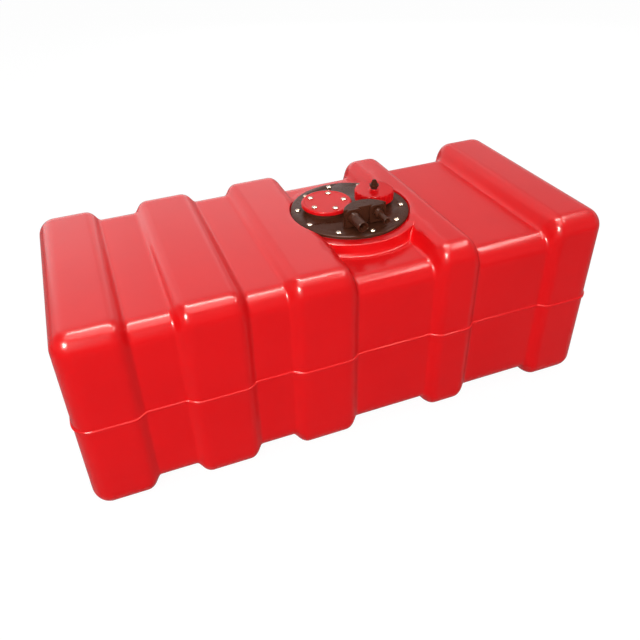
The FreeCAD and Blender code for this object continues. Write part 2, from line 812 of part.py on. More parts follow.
def draw_hood_outline(sketch, middle):
    """An upright shape with a flat top and two rounded shoulders, from the block's foot to its top."""
    left, right = middle - sizes.hood_half, middle + sizes.hood_half
    radius, foot, top = sizes.hood_round.value, block_low.value, block_top.value
    inner_left, inner_right = left.value + radius, right.value - radius
    turn = math.pi / 2
    normal = Vector(0, 0, 1)
    shoulder = top - radius
    corners = [Vector(left.value, foot, 0), Vector(right.value, foot, 0), Vector(right.value, shoulder, 0),
               Vector(inner_right, top, 0), Vector(inner_left, top, 0), Vector(left.value, shoulder, 0)]
    right_arc = Part.ArcOfCircle(Part.Circle(Vector(inner_right, shoulder, 0), normal, radius), 0, turn)
    left_arc = Part.ArcOfCircle(Part.Circle(Vector(inner_left, shoulder, 0), normal, radius), turn, 2 * turn)
    sketch.addGeometry([
        Part.LineSegment(corners[0], corners[1]), Part.LineSegment(corners[1], corners[2]), right_arc,
        Part.LineSegment(corners[3], corners[4]), left_arc, Part.LineSegment(corners[5], corners[0]),
    ], False)
    for element, kind in ((0, "Coincident"), (1, "Tangent"), (2, "Tangent"), (3, "Tangent"), (4, "Tangent"),
                          (5, "Coincident")):
        sketch.addConstraint(Sketcher.Constraint(kind, element, 2, (element + 1) % 6, 1))
    sketch.addConstraint(Sketcher.Constraint("Horizontal", 0))
    sketch.addConstraint(Sketcher.Constraint("Vertical", 1))
    sketch.addConstraint(Sketcher.Constraint("Equal", 2, 4))
    hold_point(sketch, "foot_left", 0, 1, left, block_low)
    hold(sketch, "foot_right", "DistanceX", -1, 1, 0, 2, right)
    hold(sketch, "shoulder", "Radius", 2, sizes.hood_round)
    hold(sketch, "top", "DistanceY", -1, 1, 3, 1, block_top)


def make_outlet_gasket():
    body = new_body("outlet_gasket", right=flange_right)
    sketch = sketch_on(body, "outlet_gasket_outline", "XY_Plane", z=plate_top)
    draw_block_outline(sketch, sizes.block_gasket_inset)
    feature(body, "Pad", "outlet_gasket_sheet", sketch, Length=sizes.block_gasket_thick)
    half = sizes.tail_spacing / 2
    drill(body, "gasket_breather_way", sizes.breather_bore, block_low, right=-half, back=-passage_line)
    drill(body, "gasket_pickup_way", sizes.tube_radius + sizes.tube_clearance, block_low,
          right=half, back=-passage_line)
    hole = drill(body, "gasket_screw_hole", sizes.block_shank_radius + sizes.hole_clearance, block_low,
                 right=-sizes.block_screw_pitch, back=sizes.block_screw_inset - sizes.block_front)
    row_pattern(body, "gasket_screw_holes", hole, dim(3), 2 * sizes.block_screw_pitch)
    return body


def make_outlet_block():
    """A D shaped housing that turns both passages to the front, with a hooded socket for each tail."""
    body = new_body("outlet_block", right=flange_right)
    sketch = sketch_on(body, "block_outline", "XY_Plane", z=block_low)
    draw_block_outline(sketch, ZERO)
    housing = feature(body, "Pad", "block_housing", sketch, Length=block_top - block_low)
    fillet(body, "block_edges", housing, sizes.block_round,
           lambda edge: abs(edge.BoundBox.ZMin - block_top.value) < NEAR)
    half = sizes.tail_spacing / 2
    ways = (
        ("breather", -half, sizes.breather_spigot, sizes.breather_bore, sizes.breather_bore),
        ("fuel", half, sizes.fuel_spigot, sizes.fuel_bore, sizes.tube_radius + sizes.tube_clearance),
    )
    for name, right, spigot, bore, riser in ways:
        hood = sketch_on(body, f"{name}_hood_outline", "XZ_Plane", z=sizes.block_front)
        draw_hood_outline(hood, right)
        feature(body, "Pad", f"{name}_hood", hood, Length=sizes.hood_reach)
        mouth = sketch_on(body, f"{name}_mouth_circle", "XZ_Plane", z=sizes.block_front + sizes.hood_reach)
        draw_circle(mouth, sizes.mouth_radius, right, tail_axis)
        feature(body, "Pocket", f"{name}_mouth", mouth, Length=sizes.mouth_depth)
        socket = sketch_on(body, f"{name}_socket_circle", "XZ_Plane", z=sizes.block_front + tail_seat)
        draw_circle(socket, spigot + sizes.socket_clearance, right, tail_axis)
        feature(body, "Pocket", f"{name}_socket", socket, Length=tail_seat + sizes.socket_depth)
        lane = sketch_on(body, f"{name}_lane_circle", "XZ_Plane", z=sizes.block_front)
        draw_circle(lane, bore, right, tail_axis)
        feature(body, "Pocket", f"{name}_lane", lane, Length=sizes.passage_back + bore)
        rise = sketch_on(body, f"{name}_riser_circle", "XY_Plane", z=block_low)
        draw_circle(rise, bore, right, -passage_line)
        riser_hole = feature(body, "Pocket", f"{name}_riser", rise, Length=tail_axis - block_low)
        riser_hole.Reversed = True
        if riser is not bore:
            seat = sketch_on(body, f"{name}_seat_circle", "XY_Plane", z=block_low)
            draw_circle(seat, riser, right, -passage_line)
            seat_hole = feature(body, "Pocket", f"{name}_seat", seat, Length=sizes.tube_seat)
            seat_hole.Reversed = True
    pilot = sketch_on(body, "block_pilot_circle", "XY_Plane", z=block_low)
    draw_circle(pilot, sizes.block_shank_radius + sizes.thread_clearance, -sizes.block_screw_pitch,
                sizes.block_screw_inset - sizes.block_front)
    hole = feature(body, "Pocket", "block_pilot", pilot, Length=sizes.block_shank_reach + sizes.hole_clearance)
    hole.Reversed = True
    row_pattern(body, "block_pilots", hole, dim(3), 2 * sizes.block_screw_pitch)
    return body


def make_outlet_screws():
    """The row of screws that holds the outlet block from below the plate."""
    body = new_body("outlet_screws", right=flange_right, back=sizes.block_screw_inset - sizes.block_front)
    top = block_low + sizes.block_shank_reach
    low = plate_low - sizes.block_head_height
    one = revolve(body, "outlet_screw", [
        (ZERO, low), (sizes.block_head_radius, low), (sizes.block_head_radius, plate_low),
        (sizes.block_shank_radius, plate_low), (sizes.block_shank_radius, top), (ZERO, top),
    ], right=-sizes.block_screw_pitch)
    row_pattern(body, "outlet_screw_row", one, dim(3), 2 * sizes.block_screw_pitch)
    return body


def front_body(name, side):
    """A body whose Z axis runs forwards along a tail's axis, from the block's front face."""
    right = flange_right + side * sizes.tail_spacing / 2
    body = new_body(name, right=right, back=-sizes.block_front, up=tail_axis)
    body.Placement = Placement(body.Placement.Base, Rotation(Vector(1, 0, 0), 90))
    return body


def make_tail(name, side, spigot, bore, stop, barb, land, land_length, bead):
    """A hose tail: spigot with a ring groove, hose stop, barbs, a plain land and a flared bead at its end."""
    body = front_body(name, side)
    groove_low, groove_high = ring_middle - sizes.ring_groove, ring_middle + sizes.ring_groove
    groove_floor = spigot - sizes.ring_groove
    valley = barb - sizes.barb_step
    along = tail_seat + sizes.stop_thick
    outline = [
        (bore, -sizes.socket_depth), (spigot, -sizes.socket_depth), (spigot, groove_low),
        (groove_floor, groove_low), (groove_floor, groove_high), (spigot, groove_high),
        (spigot, tail_seat), (stop, tail_seat), (stop, along),
    ]
    for _ in range(int(sizes.barb_count.value)):
        crest = along + sizes.barb_pitch / 4
        outline += [(valley, along), (valley, crest), (barb, crest), (barb, crest + sizes.barb_land)]
        along = along + sizes.barb_pitch
    land_end = along + land_length
    tip = land_end + sizes.bead_length
    outline += [
        (land, along), (land, land_end), (bead, land_end),
        (bead, tip - sizes.bead_chamfer), (bead - sizes.bead_chamfer, tip),
        (bead - sizes.bead_chamfer - sizes.mouth_rim, tip), (bore, tip - sizes.mouth_taper),
    ]
    revolve(body, f"{name}_section", outline)
    return body


def make_tail_ring(name, side, spigot):
    """The square-cut sealing ring in a hose tail's groove."""
    body = front_body(name, side)
    half = sizes.ring_groove - sizes.ring_squeeze
    sketch = sketch_on(body, f"{name}_circles", "XY_Plane", z=ring_middle - half)
    draw_circle(sketch, spigot)
    draw_circle(sketch, spigot - half)
    feature(body, "Pad", f"{name}_band", sketch, Length=2 * half)
    return body


# ---------------------------------------------------------------- fuel pickup

pickup_right = flange_right + sizes.tail_spacing / 2
tank_floor = sizes.base_depth + sizes.wall
strainer_low = tank_floor + sizes.pickup_gap
strainer_top = strainer_low + sizes.strainer_height


def make_pickup_tube():
    low = strainer_low + sizes.strainer_hood
    body = new_body("pickup_tube", right=pickup_right, back=-passage_line, up=low)
    sketch = sketch_on(body, "pickup_tube_circles", "XY_Plane")
    draw_circle(sketch, sizes.tube_radius)
    draw_circle(sketch, sizes.tube_radius - sizes.tube_wall)
    feature(body, "Pad", "pickup_tube_run", sketch, Length=block_low + sizes.tube_seat - low)
    return body


def make_pickup_strainer():
    """A gauze cup with a closed base and a hood that grips the tube's lower end."""
    body = new_body("pickup_strainer", right=pickup_right, back=-passage_line)
    skirt = sizes.strainer_radius - sizes.strainer_wall
    grip = sizes.tube_radius + sizes.tube_clearance
    revolve(body, "strainer_section", [
        (ZERO, strainer_low), (sizes.strainer_radius, strainer_low), (sizes.strainer_radius, strainer_top),
        (grip, strainer_top), (grip, strainer_top - sizes.strainer_hood),
        (skirt, strainer_top - sizes.strainer_hood), (skirt, strainer_low + sizes.strainer_wall),
        (ZERO, strainer_low + sizes.strainer_wall),
    ])
    return body


# ---------------------------------------------------------------- build, check and write

def build_nodes():
    seal_inner = sizes.neck_bore + sizes.cap_seal_inset
    seal_outer = sizes.neck_radius - sizes.cap_seal_inset
    return [
        make_tank_shell(),
        make_inserts("flange_inserts", flange_right, ZERO, sizes.screw_phase, sizes.screw_circle,
                     sizes.screw_count, sizes.insert_length, pad_top),
        make_flange_gasket(),
        make_flange_plate(),
        make_screws("flange_screws", flange_right, ZERO, sizes.screw_phase, sizes.screw_circle,
                    sizes.screw_count, sizes.shank_length, plate_top),
        make_inserts("sender_inserts", sender_right, sizes.sender_back, sizes.cover_screw_phase,
                     sizes.cover_screw_circle, sizes.cover_screw_count, sizes.cover_insert_length, collar_top),
        make_sender_gasket(),
        make_sender_cover(),
        make_screws("sender_screws", sender_right, sizes.sender_back, sizes.cover_screw_phase,
                    sizes.cover_screw_circle, sizes.cover_screw_count, sizes.cover_shank_length, cover_top),
        make_filler_cap(),
        make_ring("cap_seal", filler_right, sizes.filler_back, neck_top, sizes.cap_seal_thick,
                  seal_inner, seal_outer),
        make_vent_screw(),
        make_ring("vent_seal", filler_right, sizes.filler_back, dome_top, sizes.vent_seal_thick,
                  sizes.stem_radius + sizes.stem_clearance, sizes.vent_seal_radius),
        make_ring("vent_clip", filler_right, sizes.filler_back, clip_top - sizes.clip_thick, sizes.clip_thick,
                  sizes.stem_radius + sizes.thread_clearance, sizes.clip_radius),
        make_outlet_gasket(),
        make_outlet_block(),
        make_outlet_screws(),
        make_tail("breather_tail", -1, sizes.breather_spigot, sizes.breather_bore, sizes.breather_stop,
                  sizes.breather_barb, sizes.breather_land, sizes.breather_land_length, sizes.breather_bead),
        make_tail_ring("breather_ring", -1, sizes.breather_spigot),
        make_tail("fuel_tail", 1, sizes.fuel_spigot, sizes.fuel_bore, sizes.fuel_stop,
                  sizes.fuel_barb, sizes.fuel_land, sizes.fuel_land_length, sizes.fuel_bead),
        make_tail_ring("fuel_ring", 1, sizes.fuel_spigot),
        make_pickup_tube(),
        make_pickup_strainer(),
    ]


def check_document():
    failed = [item.Name for item in doc.Objects if {"Invalid", "Error"} & set(item.State)]
    if failed:
        raise RuntimeError(f"features that did not build: {failed}")


def write_nodes(nodes):
    os.makedirs("parts", exist_ok=True)
    for node in nodes:
        node.Label = node.Name
        shape = node.Shape
        if shape.isNull() or not shape.isValid():
            raise RuntimeError(f"{node.Label} has no valid shape")
    for node in nodes:
        node.Shape.exportStep(f"parts/{node.Label}.step")
        box = node.Shape.BoundBox
        print(f"{node.Label}: {len(node.Shape.Solids)} solids, {node.Shape.Volume / 1000:.2f} cm3,"
              f" x {box.XMin:.2f}..{box.XMax:.2f}, y {box.YMin:.2f}..{box.YMax:.2f},"
              f" z {box.ZMin:.2f}..{box.ZMax:.2f}")


nodes = build_nodes()
doc.recompute()
check_document()
write_nodes(nodes)
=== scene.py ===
"""Looks of a ribbed outboard fuel tank: its moulded shell, flange, cover, filler cap, vent and hose tails.

Lengths are in metres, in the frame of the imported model, whose nodes give the places of the pieces.
"""
from __future__ import annotations

import json
import logging
import math
from collections.abc import Callable, Sequence
from dataclasses import dataclass, field
from enum import Enum
from itertools import product

import bmesh
import bpy
from bmesh.types import BMesh, BMVert
from bpy.types import ID, Material, Mesh, Node, NodeSocket, NodeTree, Object
from mathutils import Euler, Matrix, Quaternion, Vector

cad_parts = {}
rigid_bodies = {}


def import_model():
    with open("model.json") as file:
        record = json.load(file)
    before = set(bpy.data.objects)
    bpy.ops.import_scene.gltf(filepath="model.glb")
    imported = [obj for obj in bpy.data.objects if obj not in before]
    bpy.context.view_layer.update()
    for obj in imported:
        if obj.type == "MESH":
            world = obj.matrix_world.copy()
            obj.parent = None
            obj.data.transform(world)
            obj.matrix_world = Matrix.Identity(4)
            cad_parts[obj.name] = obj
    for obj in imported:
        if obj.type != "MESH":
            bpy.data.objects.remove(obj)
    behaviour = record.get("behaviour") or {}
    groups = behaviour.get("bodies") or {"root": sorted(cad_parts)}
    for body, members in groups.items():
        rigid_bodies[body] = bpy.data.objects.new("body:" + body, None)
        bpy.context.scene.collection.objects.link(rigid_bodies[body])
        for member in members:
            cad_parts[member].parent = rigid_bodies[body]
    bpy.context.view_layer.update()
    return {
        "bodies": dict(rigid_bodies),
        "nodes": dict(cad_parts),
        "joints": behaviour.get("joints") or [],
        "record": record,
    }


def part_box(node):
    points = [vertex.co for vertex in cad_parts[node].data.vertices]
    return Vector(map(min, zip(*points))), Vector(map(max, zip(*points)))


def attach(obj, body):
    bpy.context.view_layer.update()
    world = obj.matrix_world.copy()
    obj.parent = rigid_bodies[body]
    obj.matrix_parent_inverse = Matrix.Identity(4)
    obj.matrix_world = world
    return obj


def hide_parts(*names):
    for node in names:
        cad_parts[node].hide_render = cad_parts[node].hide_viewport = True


log = logging.getLogger("fuel_tank")

MM = 0.001
HALF_PI = math.pi / 2
WELD = 1e-7  # Points of a turned piece that are nearer to each other become one.
NEARLY = 1e-6  # Slack where lengths are compared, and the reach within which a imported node's points are joined.
Point = tuple[float, float]
Triple = tuple[float, float, float]


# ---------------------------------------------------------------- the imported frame

@dataclass(frozen=True)
class Extent:
    """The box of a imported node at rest."""

    low: Vector
    high: Vector

    @classmethod
    def of(cls, node: str) -> Extent:
        """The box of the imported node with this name."""
        return cls(*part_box(node))

    @property
    def middle(self) -> Vector:
        """The centre of the box."""
        return (self.low + self.high) / 2

    @property
    def half(self) -> Vector:
        """Half the size of the box along each axis."""
        return (self.high - self.low) / 2


# ---------------------------------------------------------------- node trees

class TreeKind(Enum):
    """The two kinds of node tree that the script builds."""

    GEOMETRY = "GeometryNodeTree"
    SHADER = "ShaderNodeTree"


@dataclass(frozen=True)
class Wire:
    """A value inside a node tree. Arithmetic on it adds Math nodes."""

    socket: NodeSocket

    def math(self, operation: str, *others: Wire | float) -> Wire:
        """The result of a Math node that takes this value and the others."""
        return calculate(operation, self, *others)

    def __add__(self, other: Wire | float) -> Wire:
        """The sum."""
        return self.math("ADD", other)

    def __sub__(self, other: Wire | float) -> Wire:
        """The difference."""
        return self.math("SUBTRACT", other)

    def __rsub__(self, other: float) -> Wire:
        """The difference from a number."""
        return calculate("SUBTRACT", other, self)

    def __mul__(self, other: Wire | float) -> Wire:
        """The product."""
        return self.math("MULTIPLY", other)

    def __truediv__(self, other: Wire | float) -> Wire:
        """The quotient."""
        return self.math("DIVIDE", other)

    def above(self, other: Wire | float) -> Wire:
        """One where this value is greater than the other, and zero elsewhere."""
        return self.math("GREATER_THAN", other)

    def at_least(self, other: Wire | float) -> Wire:
        """The larger of the two values."""
        return self.math("MAXIMUM", other)

    def at_most(self, other: Wire | float) -> Wire:
        """The smaller of the two values."""
        return self.math("MINIMUM", other)

    def root(self) -> Wire:
        """The square root, and zero for a negative value."""
        return self.at_least(0.0).math("SQRT")

    def towards(self, other: Wire, share: Wire) -> Wire:
        """This value where share is zero and the other where it is one."""
        return (other - self).math("MULTIPLY_ADD", share, self)


def connect(slot: NodeSocket, value: object) -> None:
    """Links an output to a node's input, or sets the input to a plain value.

    Args:
        slot: The node's input.
        value: A wire, a node whose first output is meant, an output, or a number, colour or vector.
    """
    if isinstance(value, Wire):
        value = value.socket
    elif isinstance(value, Node):
        value = value.outputs[0]
    if isinstance(value, NodeSocket):
        slot.id_data.links.new(value, slot)
    else:
        slot.default_value = value


def calculate(operation: str, *values: Wire | float) -> Wire:
    """Adds one Math node.

    Args:
        operation: The node's operation.
        values: Its inputs, of which at least one is a wire.

    Returns:
        The node's result.
    """
    tree = next(value.socket.id_data for value in values if isinstance(value, Wire))
    node = tree.nodes.new("ShaderNodeMath")
    node.operation = operation
    for slot, value in zip(node.inputs, values):
        connect(slot, value)
    return Wire(node.outputs[0])


def add_node(tree: NodeTree, kind: str, settings: dict[str, object] | None = None,
             **values: object) -> Node:
    """Adds a node and fills its inputs.

    Args:
        tree: The tree that gets the node.
        kind: The node's type.
        settings: Properties of the node itself.
        values: Its inputs by name, with an underscore for each space.

    Returns:
        The node.
    """
    node = tree.nodes.new(kind)
    for key, value in (settings or {}).items():
        setattr(node, key, value)
    for key, value in values.items():
        connect(node.inputs[key.replace("_", " ")], value)
    return node


def new_group(name: str, kind: TreeKind, inputs: dict[str, str], outputs: dict[str, str],
              ) -> tuple[NodeTree, dict[str, Wire], Node]:
    """Makes an empty node group with named sockets.

    Args:
        name: The group's name.
        kind: Whether it belongs to geometry or to shaders.
        inputs: Each input's name and the kind of its socket.
        outputs: Each output's name and the kind of its socket.

    Returns:
        The group, its inputs as wires by name, and its output node.
    """
    tree = bpy.data.node_groups.new(name, kind.value)
    for way, sockets in (("INPUT", inputs), ("OUTPUT", outputs)):
        for title, socket_kind in sockets.items():
            tree.interface.new_socket(title, in_out=way, socket_type=f"NodeSocket{socket_kind}")
    source = tree.nodes.new("NodeGroupInput")
    return tree, {title: Wire(source.outputs[title]) for title in inputs}, tree.nodes.new("NodeGroupOutput")


def split_vector(tree: NodeTree, vector: object) -> tuple[Wire, Wire, Wire]:
    """The three parts of a vector as wires."""
    return tuple(Wire(part) for part in add_node(tree, "ShaderNodeSeparateXYZ", Vector=vector).outputs)


def join_vector(tree: NodeTree, x: Wire | float, y: Wire | float, z: Wire | float) -> Wire:
    """A vector made of three values."""
    return Wire(add_node(tree, "ShaderNodeCombineXYZ", X=x, Y=y, Z=z).outputs[0])


def end_tree(output: Node, geometry: Node, finish: Wire) -> None:
    """Ends a geometry tree: copies are made real and get their material.

    Args:
        output: The tree's output node.
        geometry: The node that gives the tree's geometry.
        finish: The material.
    """
    tree = output.id_data
    whole = add_node(tree, "GeometryNodeRealizeInstances", Geometry=geometry)
    connect(output.inputs[0], add_node(tree, "GeometryNodeSetMaterial", Geometry=whole, Material=finish))


def apply_tree(piece: Object, tree: NodeTree, values: dict[str, object]) -> None:
    """Puts a geometry tree on a piece as a modifier with its own sizes.

    Args:
        piece: The object that gets the modifier.
        tree: The geometry tree.
        values: The tree's inputs by name.
    """
    modifier = piece.modifiers.new(tree.name, "NODES")
    modifier.node_group = tree
    for item in tree.interface.items_tree:
        if item.in_out == "INPUT" and item.name in values:
            modifier[item.identifier] = values[item.name]


def make_plain(piece: Object) -> None:
    """Replaces a piece's mesh by the result of its modifiers, and removes the modifiers.

    Args:
        piece: The piece.
    """
    bpy.context.view_layer.update()
    graph = bpy.context.evaluated_depsgraph_get()
    result = bpy.data.meshes.new_from_object(piece.evaluated_get(graph))
    piece.modifiers.clear()
    old = piece.data
    piece.data = result
    bpy.data.meshes.remove(old)


# ---------------------------------------------------------------- meshes

def rounded(corners: Sequence[Triple], steps: int) -> list[Point]:
    """Turns an outline with sharp corners into one whose corners are arcs.

    Args:
        corners: Radius from the axis, height along it and corner radius of each point.
        steps: Segments in each arc.

    Returns:
        The points of the rounded outline; the first and last corners stay sharp.
    """
    points: list[Point] = [corners[0][:2]]
    for before, corner, after in zip(corners, corners[1:], corners[2:]):
        here = Vector(corner[:2])
        back = (Vector(before[:2]) - here).normalized()
        ahead = (Vector(after[:2]) - here).normalized()
        if corner[2] <= 0:
            points.append(tuple(here))
            continue
        half_angle = back.angle(ahead) / 2
        reach = corner[2] / math.tan(half_angle)
        centre = here + (back + ahead).normalized() * corner[2] / math.sin(half_angle)
        start, end = here + back * reach - centre, here + ahead * reach - centre
        turn = start.angle_signed(end)
        points += [tuple(centre + Matrix.Rotation(-turn * step / steps, 2) @ start)
                   for step in range(steps + 1)]
    points.append(corners[-1][:2])
    return points


def join_rows(shape: BMesh, rows: Sequence[Sequence[BMVert]]) -> None:
    """Joins each ring of vertices to the next one by quads.

    Args:
        shape: The shape that holds the vertices.
        rows: Rings with the same number of vertices each.
    """
    for lower, upper in zip(rows, rows[1:]):
        for here in range(len(lower)):
            after = (here + 1) % len(lower)
            shape.faces.new((lower[here], lower[after], upper[after], upper[here]))


def write_shape(shape: BMesh, mesh: Mesh) -> None:
    """Writes an edited shape to a mesh and frees it."""
    shape.to_mesh(mesh)
    shape.free()


def smooth(mesh: Mesh, crease: float) -> None:
    """Shades a mesh smooth, with sharp edges where its faces turn by more than a crease in degrees."""
    mesh.shade_smooth()
    mesh.set_sharp_from_angle(angle=math.radians(crease))


def lathe(outline: Sequence[Point], segments: int, centre: Point, crease: float, closed: bool = False,
          swell: Callable[[float, float, float], float] | None = None) -> Mesh:
    """Turns an outline of radius and height about an upright axis; a ring of no radius closes as a pole.

    Args:
        outline: The section, as points of radius and height.
        segments: Points in each ring.
        centre: Where the axis stands.
        crease: The angle in degrees past which an edge stays sharp.
        closed: Whether the section is a closed loop.
        swell: What to add to a ring's radius, from its radius, its height and the angle, if anything.

    Returns:
        The turned mesh, with its faces outwards.
    """
    shape = bmesh.new()
    rows = []
    for radius, height in outline:
        row = []
        for number in range(segments):
            angle = 2 * math.pi * number / segments
            reach = radius + (swell(radius, height, angle) if swell else 0.0)
            row.append(shape.verts.new((reach * math.cos(angle), reach * math.sin(angle), height)))
        rows.append(row)
    join_rows(shape, [*rows, rows[0]] if closed else rows)
    bmesh.ops.remove_doubles(shape, verts=shape.verts, dist=WELD)
    bmesh.ops.recalc_face_normals(shape, faces=shape.faces)
    mesh = bpy.data.meshes.new("turned")
    write_shape(shape, mesh)
    mesh.transform(Matrix.Translation((*centre, 0.0)))
    smooth(mesh, crease)
    return mesh


def add_object(name: str, data: ID) -> Object:
    """Puts a mesh, lamp or camera in the scene.

    Args:
        name: The new object's name.
        data: What it shows.

    Returns:
        The object.
    """
    holder = bpy.data.objects.new(name, data)
    bpy.context.scene.collection.objects.link(holder)
    return holder


def add_piece(name: str, mesh: Mesh, finish: Finish) -> Object:
    """Puts a mesh in the scene with its finish.

    Args:
        name: The piece's name.
        mesh: Its mesh, in place.
        finish: What its surface is made of.

    Returns:
        The new object.
    """
    mesh.name = name
    mesh.materials.append(finish.material)
    return add_object(name, mesh)


def hand_over(piece: Object, body: str, node: str) -> None:
    """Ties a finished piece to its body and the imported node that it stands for.

    Args:
        piece: The finished piece.
        body: The body that it moves with.
        node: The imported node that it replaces.
    """
    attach(piece, body)
    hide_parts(node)
    log.info("%s: %d faces on %s", piece.name, len(piece.data.polygons), body)


# ---------------------------------------------------------------- finishes

class Effects:
    """The node groups that every finish uses, each built once."""

    layer_weight: float = 0.55
    drift_range: Point = (0.35, 0.65)
    rub_range: Point = (0.38, 0.62)
    streak_stretch: Triple = (1.0, 3.0, 1.0)
    streak_fineness: float = 6.0
    streak_share: float = 0.4
    patch_share: float = 0.6

    def __init__(self) -> None:
        """Builds the groups."""
        self.grain = self.make_grain()
        self.drift = self.make_drift()
        self.wear = self.make_wear()

    def noise(self, vector: Wire, scale: Wire, detail: float) -> Wire:
        """Smooth noise over a vector."""
        return Wire(add_node(vector.socket.id_data, "ShaderNodeTexNoise", Vector=vector, Scale=scale,
                             Detail=detail, Roughness=self.layer_weight).outputs[0])

    def make_grain(self) -> NodeTree:
        """Builds the group for fine moulding grain over a slow waviness.

        Returns:
            The group, which gives both as one height.
        """
        tree, wires, output = new_group(
            "Moulding Grain", TreeKind.SHADER,
            {"Vector": "Vector", "Grain Scale": "Float", "Grain Depth": "Float", "Wave Scale": "Float",
             "Wave Depth": "Float"},
            {"Height": "Float"})
        grain = self.noise(wires["Vector"], wires["Grain Scale"], detail=3.0)
        wave = self.noise(wires["Vector"], wires["Wave Scale"], detail=1.0)
        connect(output.inputs["Height"], grain * wires["Grain Depth"] + wave * wires["Wave Depth"])
        return tree

    def make_drift(self) -> NodeTree:
        """Builds the group for a colour that drifts between two shades across the surface.

        Returns:
            The group, which gives the colour.
        """
        tree, wires, output = new_group(
            "Shade Drift", TreeKind.SHADER,
            {"Vector": "Vector", "Scale": "Float", "First Shade": "Color", "Second Shade": "Color"},
            {"Colour": "Color"})
        patches = self.noise(wires["Vector"], wires["Scale"], detail=4.0)
        low, high = self.drift_range
        share = add_node(tree, "ShaderNodeMapRange", Value=patches, From_Min=low, From_Max=high)
        mix = add_node(tree, "ShaderNodeMix", {"data_type": "RGBA"}, Factor=share, A=wires["First Shade"],
                       B=wires["Second Shade"])
        connect(output.inputs["Colour"], mix.outputs["Result"])
        return tree

    def make_wear(self) -> NodeTree:
        """Builds the group for fine rubbed streaks and patches.

        Returns:
            The group, which gives a roughness between its two values.
        """
        tree, wires, output = new_group(
            "Rubbed Gloss", TreeKind.SHADER,
            {"Vector": "Vector", "Scale": "Float", "Low": "Float", "High": "Float"}, {"Roughness": "Float"})
        stretch = add_node(tree, "ShaderNodeVectorMath", {"operation": "MULTIPLY"}, Vector=wires["Vector"])
        connect(stretch.inputs[1], self.streak_stretch)
        patches = self.noise(wires["Vector"], wires["Scale"], detail=5.0)
        streaks = self.noise(Wire(stretch.outputs[0]), wires["Scale"] * self.streak_fineness, detail=2.0)
        share = patches * self.patch_share + streaks * self.streak_share
        low, high = self.rub_range
        rubbed = add_node(tree, "ShaderNodeMapRange", Value=share, From_Min=low, From_Max=high,
                          To_Min=wires["Low"], To_Max=wires["High"])
        connect(output.inputs["Roughness"], rubbed)
        return tree


@dataclass(frozen=True)
class Finish:
    """What a surface is made of: its colours, gloss, grain and constants."""

    name: str
    slot: str
    effects: Effects
    first_shade: Triple
    second_shade: Triple
    roughness: Point
    shade_scale: float = 6.0
    gloss_scale: float = 14.0
    grain_scale: float = 900.0
    grain_depth: float = 0.35
    wave_scale: float = 18.0
    wave_depth: float = 0.0
    bump: float = 0.25
    constants: dict[str, float] = field(default_factory=dict)

    @property
    def material(self) -> Material:
        """The finish's material, made the first time that it is needed."""
        return bpy.data.materials.get(self.name) or self.make_material()

    def make_material(self) -> Material:
        """Builds the material's nodes, over Object coordinates.

        Returns:
            The new material.
        """
        material = bpy.data.materials.new(self.name)
        material.use_nodes = True
        tree = material.node_tree
        shader = tree.nodes["Principled BSDF"]
        place = tree.nodes.new("ShaderNodeTexCoord").outputs["Object"]

        def effect(group: NodeTree, **values: object) -> Node:
            """Puts one of the shared effects in the material."""
            return add_node(tree, "ShaderNodeGroup", {"node_tree": group}, Vector=place, **values)

        grain = effect(self.effects.grain, Grain_Scale=self.grain_scale, Grain_Depth=self.grain_depth,
                       Wave_Scale=self.wave_scale, Wave_Depth=self.wave_depth)
        inputs = {
            "Base Color": effect(self.effects.drift, Scale=self.shade_scale,
                                 First_Shade=(*self.first_shade, 1.0),
                                 Second_Shade=(*self.second_shade, 1.0)),
            "Roughness": effect(self.effects.wear, Scale=self.gloss_scale, Low=self.roughness[0],
                                High=self.roughness[1]),
            "Normal": add_node(tree, "ShaderNodeBump", Strength=self.bump, Distance=MM, Height=grain)}
        for title, value in (inputs | self.constants).items():
            connect(shader.inputs[title], value)
        return material


